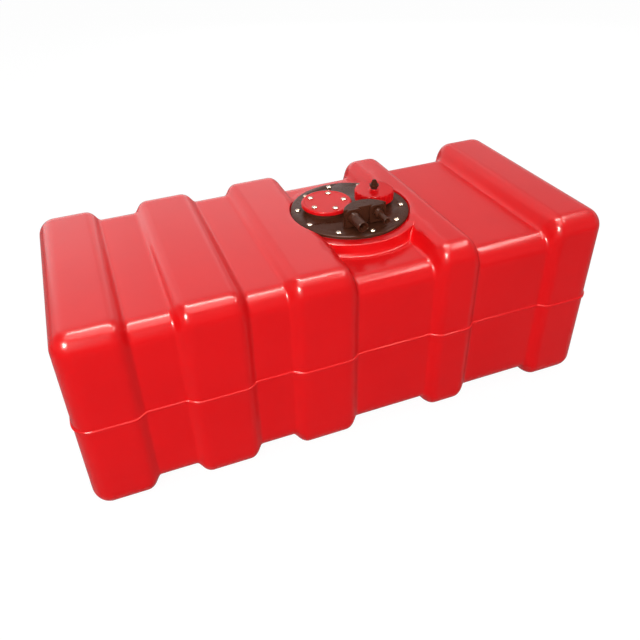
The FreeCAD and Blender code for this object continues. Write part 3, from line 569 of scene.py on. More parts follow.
class Finishes:
    """Every finish of the tank."""

    def __init__(self) -> None:
        """Sets out the finishes by their shades and gloss."""
        effects = Effects()
        self.moulding = Finish(
            "red_moulding", "red_polyethylene", effects, (0.76, 0.0048, 0.0068), (0.72, 0.0042, 0.0062),
            roughness=(0.20, 0.27), grain_depth=0.06, wave_depth=0.5, wave_scale=22.0, bump=0.35,
            constants={"Specular IOR Level": 0.16})
        self.bright = Finish(
            "bright_red_nylon", "red_nylon", effects, (0.76, 0.0060, 0.0080), (0.72, 0.0055, 0.0075),
            roughness=(0.12, 0.20), shade_scale=30.0, gloss_scale=60.0, grain_depth=0.05,
            constants={"Specular IOR Level": 0.07})
        self.black = Finish(
            "moulded_black_nylon", "black_nylon", effects, (0.066, 0.0190, 0.0090), (0.073, 0.0215, 0.0105),
            roughness=(0.25, 0.31), shade_scale=40.0, gloss_scale=70.0, grain_scale=1400.0, grain_depth=0.12,
            constants={"Specular IOR Level": 0.05})
        self.steel = Finish(
            "stainless", "stainless_steel", effects, (0.27, 0.21, 0.165), (0.22, 0.17, 0.135),
            roughness=(0.18, 0.28), shade_scale=300.0, gloss_scale=500.0, grain_scale=3000.0,
            grain_depth=0.04, constants={"Metallic": 1.0})
        self.brass = Finish(
            "turned_brass", "brass", effects, (0.72, 0.47, 0.17), (0.62, 0.39, 0.13),
            roughness=(0.24, 0.38), shade_scale=120.0, gloss_scale=400.0, grain_depth=0.04,
            constants={"Metallic": 1.0})
        self.rubber = Finish(
            "nitrile", "nitrile_rubber", effects, (0.018, 0.017, 0.017), (0.026, 0.025, 0.025),
            roughness=(0.6, 0.75), shade_scale=60.0, grain_scale=1800.0, grain_depth=0.1)
        self.natural = Finish(
            "cream_nylon", "natural_nylon", effects, (0.74, 0.70, 0.58), (0.68, 0.63, 0.50),
            roughness=(0.35, 0.45), shade_scale=40.0, grain_depth=0.06)

    def dress(self, frame: dict) -> None:
        """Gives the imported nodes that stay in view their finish.

        Args:
            frame: The loaded frame.
        """
        for finish, nodes in (
                (self.black, ("vent_screw", "outlet_block", "breather_tail", "fuel_tail")),
                (self.brass, ("flange_inserts", "sender_inserts")),
                (self.steel, ("outlet_screws", "vent_clip")),
                (self.rubber, ("flange_gasket", "sender_gasket", "outlet_gasket", "cap_seal", "vent_seal",
                               "breather_ring", "fuel_ring")),
                (self.natural, ("pickup_tube", "pickup_strainer"))):
            for name in nodes:
                slots = frame["nodes"][name].data.materials
                slots.clear()
                slots.append(finish.material)
            log.info("%s: %s", finish.name, ", ".join(nodes))


# ---------------------------------------------------------------- the moulded shell

@dataclass(frozen=True)
class Groove:
    """A groove that runs round the shell, from the middle of one slope to the middle of the other."""

    left: float
    right: float
    depth: float


SHELL_SIZES = (
    "Half Length", "Half Width", "Height", "Corner Round", "End Round", "Slope Run", "Crest Round",
    "Groove Round", "Side Depth", "Base Depth", "Lip Height", "Lip Thick", "Lip Out", "Patch Half",
    "Flange X", "Pad Top", "Pad Radius", "Pad Round", "Foot Round", "Recess Radius", "Recess Round", "Blend")


@dataclass
class TankShell:
    """The rotationally moulded shell: ribs and grooves, parting line lip and the pad for the flange.

    A plain box of quads is the blank, with a square patch of rings round the flange in its top. The moulding
    tree then moves the blank's points to where the shell's surface runs.
    """

    finish: Finish
    ribs: tuple[float, ...] = (88 * MM, 84.5 * MM, 87.5 * MM, 60.5 * MM, 88 * MM)
    grooves: tuple[float, ...] = (68.5 * MM, 66 * MM, 129 * MM)
    depths: tuple[float, ...] = (13 * MM, 13 * MM, 26 * MM, 26 * MM)
    side_depth: float = 10 * MM
    base_depth: float = 12.5 * MM
    corner_round: float = 28 * MM
    end_round: float = 26 * MM
    slope_run: float = 12 * MM
    crest_round: float = 20 * MM
    crest_share: float = 0.66
    groove_round: float = 7 * MM
    wall: float = 5 * MM
    lip_out: float = 2 * MM
    lip_height: float = 152 * MM
    lip_thick: float = 4.5 * MM
    lip_margin: float = 0.5 * MM
    lip_stops: tuple[float, ...] = (-1, -0.9, -0.6, 0, 0.6, 0.9, 1)
    lip_squareness: float = 4.0
    least_slant: float = 0.1
    pad_radius: float = 104 * MM
    pad_round: float = 2 * MM
    foot_round: float = 7 * MM
    foot_margin: float = 0.5 * MM
    recess_radius: float = 92 * MM
    recess_round: float = 1.2 * MM
    recess_stops: tuple[float, ...] = (1.0, 0.55, 0.2)
    seat_rings: tuple[float, ...] = (89 * MM, 84 * MM, 76 * MM, 69 * MM)
    opening_radius: float = 68 * MM
    blend: float = 3 * MM
    patch_half: float = 113 * MM
    patch_margin: float = 50 * MM
    patch_rows: int = 8
    patch_bias: float = 1.7
    edge_steps: int = 7
    foot_steps: int = 8
    rim_steps: int = 6
    fine_step: float = 1.9 * MM
    coarse_steps: Triple = (12 * MM, 7 * MM, 24 * MM)
    sliver: float = 0.03 * MM

    def __post_init__(self) -> None:
        """Reads the overall sizes and the flange's place from the frame."""
        shell = Extent.of("tank_shell")
        gasket = Extent.of("flange_gasket")
        self.half_length = shell.half.x - self.lip_out
        self.half_width = shell.half.y - self.lip_out
        self.height = shell.high.z
        self.flange_x, self.flange_y, _ = gasket.middle
        self.pad_top = gasket.low.z

    def groove_list(self) -> list[Groove]:
        """Places the four grooves; the last takes what the ribs and the others leave.

        Returns:
            Each groove's slopes and depth, from left to right.
        """
        last = 2 * self.half_length - sum(self.ribs) - sum(self.grooves)
        place = -self.half_length
        found = []
        for rib, width, depth in zip(self.ribs, (*self.grooves, last), self.depths):
            left = place + rib
            place = left + width
            found.append(Groove(left, place, depth))
        return found

    def inputs(self) -> dict[str, float]:
        """Gathers the moulding tree's sizes.

        Returns:
            Each size by the name of its input: the shell's own, and then each groove's.
        """
        found = {title: getattr(self, title.lower().replace(" ", "_")) for title in SHELL_SIZES}
        for number, groove in enumerate(self.groove_list(), start=1):
            found |= {f"Groove {number} Left": groove.left, f"Groove {number} Right": groove.right,
                      f"Groove {number} Depth": groove.depth}
        return found

    def stops(self, low: float, high: float, radius: float, fixed: Sequence[float], step: float,
              fine: Sequence[Point] = ()) -> list[float]:
        """Sets out one axis of the box: rounded edges, close stops in the fine stretches, even ones between.

        Args:
            low: The box's lower face.
            high: The box's upper face.
            radius: The radius of its edges along this axis.
            fixed: Stops that must be there.
            step: The largest gap outside the fine stretches.
            fine: Stretches with close stops.

        Returns:
            The stops in order.
        """
        edge = [radius * math.tan(math.pi / 4 * number / self.edge_steps)
                for number in range(1, self.edge_steps + 1)]
        knots = {low + radius, high - radius, *fixed}
        for start, end in fine:
            knots |= {start, end}
        ordered = sorted(knots)
        inner = [ordered[0]]
        for start, end in zip(ordered, ordered[1:]):
            middle = (start + end) / 2
            gap = self.fine_step if any(a <= middle <= b for a, b in fine) else step
            count = max(1, math.ceil((end - start) / gap - NEARLY))
            inner += [start + (end - start) * number / count for number in range(1, count + 1)]
        return ([low + radius - stop for stop in reversed(edge)] + inner
                + [high - radius + stop for stop in edge])

    def pad_rings(self) -> list[float]:
        """Radii of the rings round the flange, from the patch's inside to the opening.

        Returns:
            The radii, close together on each rounding and on each side of an upright wall.
        """
        foot = [self.pad_radius + self.sliver + self.foot_round
                - self.foot_round * (1 - math.cos(HALF_PI * number / self.foot_steps))
                for number in range(self.foot_steps + 1)]
        rim = [self.pad_radius - self.pad_round
               + self.pad_round * math.sin(HALF_PI * number / self.rim_steps)
               for number in range(self.rim_steps, -1, -1)]
        recess = [self.recess_radius + self.recess_round * share for share in self.recess_stops]
        wall = [self.recess_radius + self.sliver, self.recess_radius - self.sliver]
        outer = self.pad_radius + self.foot_round + self.foot_margin
        return [outer, *foot, *rim, *recess, *wall, *self.seat_rings, self.opening_radius]

    def make_axes(self) -> tuple[list[float], ...]:
        """Sets out the blank's rows: close together where the slopes, edges and lip come.

        Returns:
            The stops along each axis.
        """
        reach = self.slope_run / 2 + self.crest_round * self.crest_share
        slopes = [(edge - reach, edge + reach) for groove in self.groove_list()
                  for edge in (groove.left, groove.right)]
        thick = self.lip_thick / 2
        lip = [self.lip_height - thick - self.lip_margin, self.lip_height + thick + self.lip_margin,
               *(self.lip_height + thick * share for share in self.lip_stops)]
        half, near = self.patch_half, self.patch_half - self.patch_margin
        along, across, upward = self.coarse_steps
        return (
            self.stops(-self.half_length, self.half_length, self.end_round,
                       (self.flange_x - half, self.flange_x + half), along, slopes),
            self.stops(-self.half_width, self.half_width, self.corner_round,
                       (-half, -near, near, half), across),
            self.stops(0.0, self.height, self.corner_round, lip, upward))

    def make_blank(self) -> Mesh:
        """Makes the plain box of quads, open at the flange.

        Returns:
            The blank's mesh, whose faces point outwards.
        """
        axes = self.make_axes()
        shape = bmesh.new()
        found: dict[tuple[int, ...], BMVert] = {}

        def vertex(place: tuple[int, ...]) -> BMVert:
            """Gives the vertex at a place in the grid, made when it is first needed.

            Args:
                place: The numbers of its stops along the axes.

            Returns:
                The vertex.
            """
            if place not in found:
                found[place] = shape.verts.new([axes[axis][number] for axis, number in enumerate(place)])
            return found[place]

        def in_patch(x: int, y: int) -> bool:
            """Whether a square of the top lies in the patch round the flange."""
            along, across = (sum(stops[at:at + 2]) / 2 for stops, at in ((axes[0], x), (axes[1], y)))
            return max(abs(along - self.flange_x), abs(across)) < self.patch_half

        ends = [len(stops) - 1 for stops in axes]
        for axis, at_end in product(range(3), (False, True)):
            first, second = (axis + 1) % 3, (axis + 2) % 3
            for a, b in product(range(ends[first]), range(ends[second])):
                if axis == 2 and at_end and in_patch(a, b):
                    continue
                corners = []
                for da, db in ((0, 0), (1, 0), (1, 1), (0, 1)):
                    place = [ends[axis] * at_end] * 3
                    place[first], place[second] = a + da, b + db
                    corners.append(vertex(tuple(place)))
                shape.faces.new(corners if at_end else corners[::-1])
        self.fill_patch(shape)
        mesh = bpy.data.meshes.new("blank")
        write_shape(shape, mesh)
        return mesh

    def fill_patch(self, shape: BMesh) -> None:
        """Fills the square gap in the blank's top by rings that run from the square to the round opening.

        Args:
            shape: The blank, which gets the rings.
        """
        rim = {vertex for edge in shape.edges if edge.is_boundary for vertex in edge.verts}
        outer = sorted(rim, key=lambda v: math.atan2(v.co.y - self.flange_y, v.co.x - self.flange_x))
        centre = Vector((self.flange_x, self.flange_y, self.height))
        radii = self.pad_rings()
        rows = [outer]
        for row in range(1, self.patch_rows):
            share = (row / self.patch_rows) ** self.patch_bias
            rows.append([shape.verts.new(vertex.co.lerp(
                centre + (vertex.co - centre).normalized() * radii[0], share)) for vertex in outer])
        for radius in radii:
            rows.append([shape.verts.new(centre + (vertex.co - centre).normalized() * radius)
                         for vertex in outer])
        join_rows(shape, rows)

    @staticmethod
    def make_ramp_group() -> NodeTree:
        """A slope from nought to one with one rounding before its middle and another after it.

        Returns:
            The group: a signed distance from the slope's middle gives the share of the depth.
        """
        tree, wires, output = new_group(
            "Rounded Ramp", TreeKind.GEOMETRY,
            dict.fromkeys(("Distance", "Depth", "Run", "Round Before", "Round After"), "Float"),
            {"Share": "Float"})
        distance, depth, run = wires["Distance"], wires["Depth"], wires["Run"]
        radius = wires["Round Before"].towards(wires["Round After"], distance.above(0.0))
        steepness = depth / run
        angle = steepness.math("ARCTANGENT")
        reach = run * 0.5 + radius * (angle * 0.5).math("TANGENT")
        away = distance.math("ABSOLUTE")
        short = (reach - away).at_least(0.0)
        arc = depth * 0.5 - radius + (radius * radius - short * short).root()
        on_arc = away.above(reach - radius * angle.math("SINE"))
        rise = (away * steepness).towards(arc, on_arc)
        connect(output.inputs["Share"], rise / depth * distance.math("SIGN") + 0.5)
        return tree

    def make_moulding_tree(self) -> NodeTree:
        """The rule that turns the blank into the moulding.

        Returns:
            The geometry tree, with the shell's sizes as named inputs.
        """
        tree, wires, output = new_group(
            "Ribbed Moulding", TreeKind.GEOMETRY,
            {"Geometry": "Geometry", "Finish": "Material", **dict.fromkeys(self.inputs(), "Float")},
            {"Geometry": "Geometry"})
        x, y, z = split_vector(tree, tree.nodes.new("GeometryNodeInputPosition"))
        corner, end = wires["Corner Round"], wires["End Round"]
        flat_x, flat_y = wires["Half Length"] - end, wires["Half Width"] - corner
        flat_top = wires["Height"] - corner

        inner_x = x.at_most(flat_x).at_least(flat_x * -1.0)
        inner_y = y.at_most(flat_y).at_least(flat_y * -1.0)
        inner_z = z.at_most(flat_top).at_least(corner)
        outward = join_vector(tree, (x - inner_x) / end, (y - inner_y) / corner, (z - inner_z) / corner)
        out_x, out_y, out_z = split_vector(
            tree, add_node(tree, "ShaderNodeVectorMath", {"operation": "NORMALIZE"}, Vector=outward))

        drop = self.sum_grooves(wires, x, None)
        side = self.sum_grooves(wires, x, wires["Side Depth"])
        base = self.sum_grooves(wires, x, wires["Base Depth"])
        patch = wires["Patch Half"]
        beyond = (inner_y.math("ABSOLUTE") - patch).at_least(0.0)
        moved_y = inner_y - inner_y.math("SIGN") * side * beyond / (flat_y - patch)
        lip_top = wires["Lip Height"] + wires["Lip Thick"]
        lip_low = wires["Lip Height"] - wires["Lip Thick"]
        above = (inner_z - lip_top).at_least(0.0)
        below = (lip_low - inner_z).at_least(0.0)
        moved_z = inner_z - above * drop / (flat_top - lip_top) + below * base / (lip_low - corner)
        formed_y = moved_y + out_y * corner
        formed_z = moved_z + out_z * corner
        padded_z = self.raise_pad(wires, x, formed_y, formed_z)
        top_z = formed_z.towards(padded_z, z.above(wires["Height"] - MM))
        formed = add_node(tree, "GeometryNodeSetPosition", Geometry=wires["Geometry"],
                          Position=join_vector(tree, inner_x + out_x * end, formed_y, top_z))

        lipped = add_node(tree, "GeometryNodeSetPosition", Geometry=formed,
                          Offset=self.push_lip(tree, wires))
        end_tree(output, add_node(tree, "GeometryNodeSetShadeSmooth", Geometry=lipped), wires["Finish"])
        return tree

    def sum_grooves(self, wires: dict[str, Wire], x: Wire, depth: Wire | None) -> Wire:
        """How far the grooves press one side of the shell in at each place along it.

        Args:
            wires: The moulding's inputs.
            x: The place along the shell.
            depth: One depth for all the grooves, or None for each groove's own.

        Returns:
            The distance.
        """
        ramp = bpy.data.node_groups.get("Rounded Ramp") or self.make_ramp_group()
        crest, foot = wires["Crest Round"], wires["Groove Round"]
        total: Wire | float = 0.0
        for number in range(1, len(self.depths) + 1):
            own = depth or wires[f"Groove {number} Depth"]
            into, out = (
                Wire(add_node(x.socket.id_data, "GeometryNodeGroup", {"node_tree": ramp}, Depth=own,
                              Distance=x - wires[f"Groove {number} {edge}"], Run=wires["Slope Run"],
                              Round_Before=before, Round_After=after).outputs["Share"])
                for edge, before, after in (("Left", crest, foot), ("Right", foot, crest)))
            total = own * (into - out) + total
        return total

    @staticmethod
    def raise_pad(wires: dict[str, Wire], x: Wire, y: Wire, height: Wire) -> Wire:
        """The top's height once the round pad stands on it and the flange's recess is sunk in it.

        Args:
            wires: The moulding's inputs.
            x: The place along the shell.
            y: The place across it.
            height: The top's height before.

        Returns:
            The top's new height.
        """
        across = x - wires["Flange X"]
        radius = (across * across + y * y).root()
        pad, pad_round, foot = wires["Pad Radius"], wires["Pad Round"], wires["Foot Round"]
        over_rim = (radius - pad + pad_round).at_least(0.0).at_most(pad_round)
        rim = wires["Pad Top"] - pad_round + (pad_round * pad_round - over_rim * over_rim).root()
        outside = radius - pad - foot
        short = (outside * -1.0).at_least(0.0).at_most(foot)
        floor = wires["Height"] - wires["Groove 3 Depth"] - outside.at_least(0.0)
        flare = floor + foot - (foot * foot - short * short).root()
        raised = rim.towards(flare, radius.above(pad))
        sink, soft = wires["Recess Radius"], wires["Recess Round"]
        into_edge = (sink + soft - radius).at_least(0.0).at_most(soft)
        eased = height - soft + (soft * soft - into_edge * into_edge).root()
        joined = eased.math("SMOOTH_MAX", raised, wires["Blend"])
        return wires["Pad Top"].towards(joined, radius.above(sink))

    def push_lip(self, tree: NodeTree, wires: dict[str, Wire]) -> Wire:
        """The step outwards that makes the lip along the parting line.

        Args:
            tree: The moulding's tree.
            wires: Its inputs.

        Returns:
            The step as a vector, level and square to the wall.
        """
        normal_x, normal_y, _ = split_vector(tree, tree.nodes.new("GeometryNodeInputNormal"))
        _, _, z = split_vector(tree, tree.nodes.new("GeometryNodeInputPosition"))
        level = (normal_x * normal_x + normal_y * normal_y).root().at_least(self.least_slant)
        reach = (z - wires["Lip Height"]) / (wires["Lip Thick"] * 0.5)
        bulge = (1.0 - reach.math("POWER", self.lip_squareness)).root() * wires["Lip Out"]
        return join_vector(tree, normal_x / level * bulge, normal_y / level * bulge, 0.0)

    def build(self) -> None:
        """Moulds the shell from its blank, gives it its wall and hands it over."""
        piece = add_piece("tank_moulding", self.make_blank(), self.finish)
        apply_tree(piece, self.make_moulding_tree(), {"Finish": self.finish.material, **self.inputs()})
        skin = piece.modifiers.new("Wall", "SOLIDIFY")
        skin.thickness = self.wall
        skin.offset = -1.0
        skin.use_even_offset = True
        make_plain(piece)
        hand_over(piece, "tank", "tank_shell")


# ---------------------------------------------------------------- screws

@dataclass
class ScrewRing:
    """Stainless pan head screws in a circle, each with a cross recess turned its own way."""

    finish: Finish
    name: str
    node: str
    gasket: str
    count: int
    circle: float
    phase: float
    seed: int
    shank_radius: float = 2.45 * MM
    shank_round: float = 0.4 * MM
    head_radius: float = 4.4 * MM
    head_height: float = 3 * MM
    foot_round: float = 0.2 * MM
    rim_height: float = 0.9 * MM
    rim_round: float = 0.7 * MM
    shoulder: Point = (0.62, 0.86)
    crown_round: float = 2.5 * MM
    crown_height: float = 2.2 * MM
    crown_flat: float = 2.0 * MM
    recess: tuple[Point, ...] = (
        (0.9 * MM, 0.0), (0.75 * MM, 0.5 * MM), (0.5 * MM, 1.52 * MM), (0.0, 1.6 * MM))
    lobe: float = 1.5 * MM
    lobe_sharpness: int = 6
    crease: float = 40.0
    segments: int = 40

    def make_screw(self) -> Mesh:
        """Turns one screw, standing on its seat at the origin.

        Returns:
            The screw's mesh.
        """
        box = Extent.of(self.node)
        foot = self.head_height - (box.high.z - box.low.z)
        head, top = self.head_radius, self.crown_height
        widest, depth = self.recess[0][0], self.recess[-1][1]

        def cross(radius: float, height: float, angle: float) -> float:
            """Opens the recess into its four lobes.

            Args:
                radius: The ring's radius.
                height: Its height.
                angle: The place on it.

            Returns:
                What the radius gains there, which is nothing on the floor and outside the recess.
            """
            if radius > widest or height < top - depth + NEARLY:
                return 0.0
            lobes = abs(math.cos(2 * angle)) ** self.lobe_sharpness
            return self.lobe * (height - top + depth) / depth * lobes

        outline = rounded([
            (0.0, foot, 0), (self.shank_radius, foot, self.shank_round), (self.shank_radius, 0.0, 0),
            (head, 0.0, self.foot_round), (head, self.rim_height, self.rim_round),
            (self.shoulder[0] * head, self.shoulder[1] * top, self.crown_round), (self.crown_flat, top, 0)],
            steps=4)
        outline += [(radius, top - down) for radius, down in self.recess]
        return lathe(outline, self.segments, (0.0, 0.0), self.crease, swell=cross)

    @staticmethod
    def make_ring_tree() -> NodeTree:
        """Repeats the piece's own mesh round a circle, each copy turned by chance.

        Returns:
            The geometry tree.
        """
        tree, wires, output = new_group(
            "Screw Ring", TreeKind.GEOMETRY,
            {"Geometry": "Geometry", "Count": "Int", "Circle": "Float", "Phase": "Float", "Centre": "Vector",
             "Seed": "Int", "Finish": "Material"},
            {"Geometry": "Geometry"})
        circle = add_node(tree, "GeometryNodeMeshCircle", Vertices=wires["Count"], Radius=wires["Circle"])
        chance = add_node(tree, "FunctionNodeRandomValue", {"data_type": "FLOAT"}, Max=math.pi,
                          Seed=wires["Seed"]).outputs["Value"]
        copies = add_node(tree, "GeometryNodeInstanceOnPoints", Points=circle, Instance=wires["Geometry"],
                          Rotation=join_vector(tree, 0.0, 0.0, Wire(chance)))
        placed = add_node(tree, "GeometryNodeTransform", Geometry=copies, Translation=wires["Centre"],
                          Rotation=join_vector(tree, 0.0, 0.0, wires["Phase"]))
        end_tree(output, placed, wires["Finish"])
        return tree

    def build(self) -> None:
        """Sets the screws out round the gasket that they clamp and hands them over."""
        piece = add_piece(self.name, self.make_screw(), self.finish)
        centre = Extent.of(self.gasket).middle
        seat = Extent.of(self.node).high.z - self.head_height
        tree = bpy.data.node_groups.get("Screw Ring") or self.make_ring_tree()
        apply_tree(piece, tree, {
            "Count": self.count, "Circle": self.circle, "Phase": math.radians(self.phase),
            "Centre": (centre.x, centre.y, seat), "Seed": self.seed, "Finish": self.finish.material})
        make_plain(piece)
        hand_over(piece, "tank", self.node)


# ---------------------------------------------------------------- flange, cover and cap

@dataclass
class FlangePlate:
    """The black plate: round disc, sender collar, filler neck and their bores, with softened edges."""

    finish: Finish
    edge: float = 0.5 * MM
    top: float = 298.5 * MM
    rim_round: float = 1.2 * MM
    bevel_run: float = 1.9 * MM
    bevel_drop: float = 0.9 * MM
    slack: float = 0.01 * MM
    crisp: float = 15.0
    crease: float = 40.0
    flatness: float = 0.5

    def build(self, frame: dict) -> None:
        """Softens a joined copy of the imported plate, bevels its rim and hands it over.

        Args:
            frame: The loaded frame.
        """
        piece = add_piece("flange_disc", self.merged_copy(frame["nodes"]["flange_plate"]), self.finish)
        bevel = piece.modifiers.new("Edges", "BEVEL")
        bevel.width = self.edge
        bevel.segments = 2
        bevel.limit_method = "ANGLE"
        bevel.angle_limit = math.radians(self.crease)
        bevel.use_clamp_overlap = True
        make_plain(piece)
        smooth(piece.data, self.crease)
        self.bevel_rim(piece.data)
        hand_over(piece, "tank", "flange_plate")

    def merged_copy(self, node: Object) -> Mesh:
        """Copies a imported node's mesh, joins its loose triangles and makes its flat faces whole.

        Args:
            node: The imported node, which stays as it is.

        Returns:
            The copy.
        """
        mesh = node.data.copy()
        shape = bmesh.new()
        shape.from_mesh(mesh)
        bmesh.ops.remove_doubles(shape, verts=shape.verts, dist=NEARLY)
        bmesh.ops.dissolve_limit(shape, angle_limit=math.radians(self.flatness), verts=shape.verts,
                                 edges=shape.edges, delimit={"NORMAL"})
        write_shape(shape, mesh)
        if mesh.has_custom_normals:
            mesh.attributes.remove(mesh.attributes["custom_normal"])
        mesh.materials.clear()
        return mesh

    def bevel_rim(self, mesh: Mesh) -> None:
        """Draws the rounding of the disc's upper rim straight, into a flat bevel between two crisp lines.

        Args:
            mesh: The plate's mesh.
        """
        box = Extent.of("flange_plate")
        middle, radius = box.middle, box.half.x
        shape = bmesh.new()
        shape.from_mesh(mesh)
        for vertex in shape.verts:
            across = Vector((vertex.co.x - middle.x, vertex.co.y - middle.y))
            into, down = across.length - radius + self.rim_round, self.top - vertex.co.z
            if into < -self.slack or not -self.slack <= down <= self.rim_round + self.slack:
                continue
            share = math.atan2(max(into, 0.0), max(self.rim_round - down, 0.0)) / HALF_PI
            place = across.normalized() * (radius - self.bevel_run * (1 - share))
            vertex.co = (middle.x + place.x, middle.y + place.y, self.top - self.bevel_drop * share)
        for edge in shape.edges:
            if len(edge.link_faces) == 2 and edge.calc_face_angle() > math.radians(self.crisp):
                nearest = min(math.hypot(end.co.x - middle.x, end.co.y - middle.y) for end in edge.verts)
                if nearest > radius - self.bevel_run - 0.1 * MM:
                    edge.smooth = False
        write_shape(shape, mesh)


@dataclass
class SenderCover:
    """The round red blanking cover with its rolled rim."""

    finish: Finish
    foot_round: float = 0.7 * MM
    rim_round: float = 2.3 * MM
    rim_width: float = 4.5 * MM
    step_run: float = 1.0 * MM
    step_drop: float = 0.35 * MM
    step_round: float = 0.4 * MM
    dish: float = 0.2 * MM
    crease: float = 50.0
    segments: int = 128

    def build(self) -> None:
        """Turns the cover and hands it over."""
        box = Extent.of("sender_cover")
        radius, low, high = box.half.x, box.low.z, box.high.z
        step = radius - self.rim_width
        outline = rounded([
            (0.0, low, 0), (radius, low, self.foot_round), (radius, high, self.rim_round),
            (step, high, self.step_round), (step - self.step_run, high - self.step_drop, self.step_round),
            (0.0, high - self.dish, 0)], steps=6)
        mesh = lathe(outline, self.segments, box.middle[:2], self.crease)
        piece = add_piece("sender_lid", mesh, self.finish)
        hand_over(piece, "tank", "sender_cover")


@dataclass
class FillerCap:
    """The fluted filler cap with its rounded rim and the raised seat of the vent screw."""

    finish: Finish
    flutes: int = 18
    flute_depth: float = 1.3 * MM
    flute_width: float = 2.2
    flute_skin: float = 0.5 * MM
    flute_foot: float = 0.3 * MM
    flute_gap: float = 0.1 * MM
    flute_fade: float = 1.2 * MM
    foot_round: float = 0.5 * MM
    rim: float = 2.2 * MM
    skirt: float = 4.35 * MM
    crown: float = 3.0 * MM
    dome_height: float = 0.8 * MM
    dome_radius: float = 7.8 * MM
    dome_top: float = 7.0 * MM
    dome_round: float = 0.6 * MM
    bore: float = 3.1 * MM
    row_height: float = 2.2 * MM
    crease: float = 45.0
    segments: int = 288

    def build(self) -> None:
        """Turns the cap with its flutes and hands it over."""
        box = Extent.of("filler_cap")
        radius, low = box.half.x, box.low.z
        top = box.high.z - self.dome_height
        inner = radius - self.skirt

        def flute(radius: float, height: float, angle: float) -> float:
            """Draws the skirt in along the flutes.

            Args:
                radius: The ring's radius.
                height: Its height.
                angle: The place on it.

            Returns:
                What the radius gains there, which is less than nothing in a flute.
            """
            if radius < inner + self.flute_skin or height <= low + self.flute_foot:
                return 0.0
            share = (angle * self.flutes / (2 * math.pi) + 0.5) % 1.0 - 0.5
            trough = max(0.0, math.cos(share * self.flute_width * math.pi)) if abs(share) < 0.25 else 0.0
            fade = min(1.0, max(0.0, (top - self.flute_gap - height) / self.flute_fade))
            return -self.flute_depth * trough * fade

        outside = rounded([
            (inner, low, 0), (radius, low, self.foot_round), (radius, top, self.rim),
            (self.dome_radius, top, self.dome_round),
            (self.dome_top, top + self.dome_height, self.dome_round),
            (self.bore, top + self.dome_height, 0)], steps=6)
        inside = [(self.bore, top - self.crown), (inner, top - self.crown)]
        mesh = lathe([*self.refine(outside), *inside], self.segments, box.middle[:2], self.crease,
                     closed=True, swell=flute)
        hand_over(add_piece("filler_lid", mesh, self.finish), "cap", "filler_cap")

    def refine(self, outline: Sequence[Point]) -> list[Point]:
        """Adds points so that no run of an outline is longer than a row may be.

        Args:
            outline: The outline's points.

        Returns:
            The outline with the added points.
        """
        points = [outline[0]]
        for start, end in zip(outline, outline[1:]):
            count = max(1, math.ceil(math.dist(start, end) / self.row_height))
            points += [tuple(a + (b - a) * number / count for a, b in zip(start, end))
                       for number in range(1, count + 1)]
        return points


# ---------------------------------------------------------------- stage

class Reach(Enum):
    """Which rays a lamp's light is for."""

    SURFACE = (True, False)
    GLOSS = (False, True)


WHITE = (1.0, 1.0, 1.0)
WARM = (1.0, 0.92, 0.86)
WARMER = (1.0, 0.90, 0.82)
SPARK = (1.0, 0.92, 0.82)


@dataclass(frozen=True)
class Lamp:
    """A rectangular lamp that faces the tank from a direction."""

    name: str
    towards: Triple
    distance: float
    size: Point
    power: float
    reach: Reach
    tint: Triple = WHITE
    turn: float = 0.0
    aim: Triple = (0.0, -0.1, 0.2)

    def hang(self) -> None:
        """Puts the lamp in the scene."""
        light = bpy.data.lights.new(self.name, "AREA")
        light.shape = "RECTANGLE"
        light.size, light.size_y = self.size
        light.energy = self.power
        light.color = self.tint
        holder = add_object(self.name, light)
        direction = Vector(self.towards).normalized()
        holder.location = Vector(self.aim) + direction * self.distance
        spin = Quaternion((0.0, 0.0, 1.0), math.radians(self.turn))
        holder.rotation_euler = (direction.to_track_quat("Z", "Y") @ spin).to_euler()
        holder.visible_diffuse, holder.visible_glossy = self.reach.value
        holder.visible_camera = False


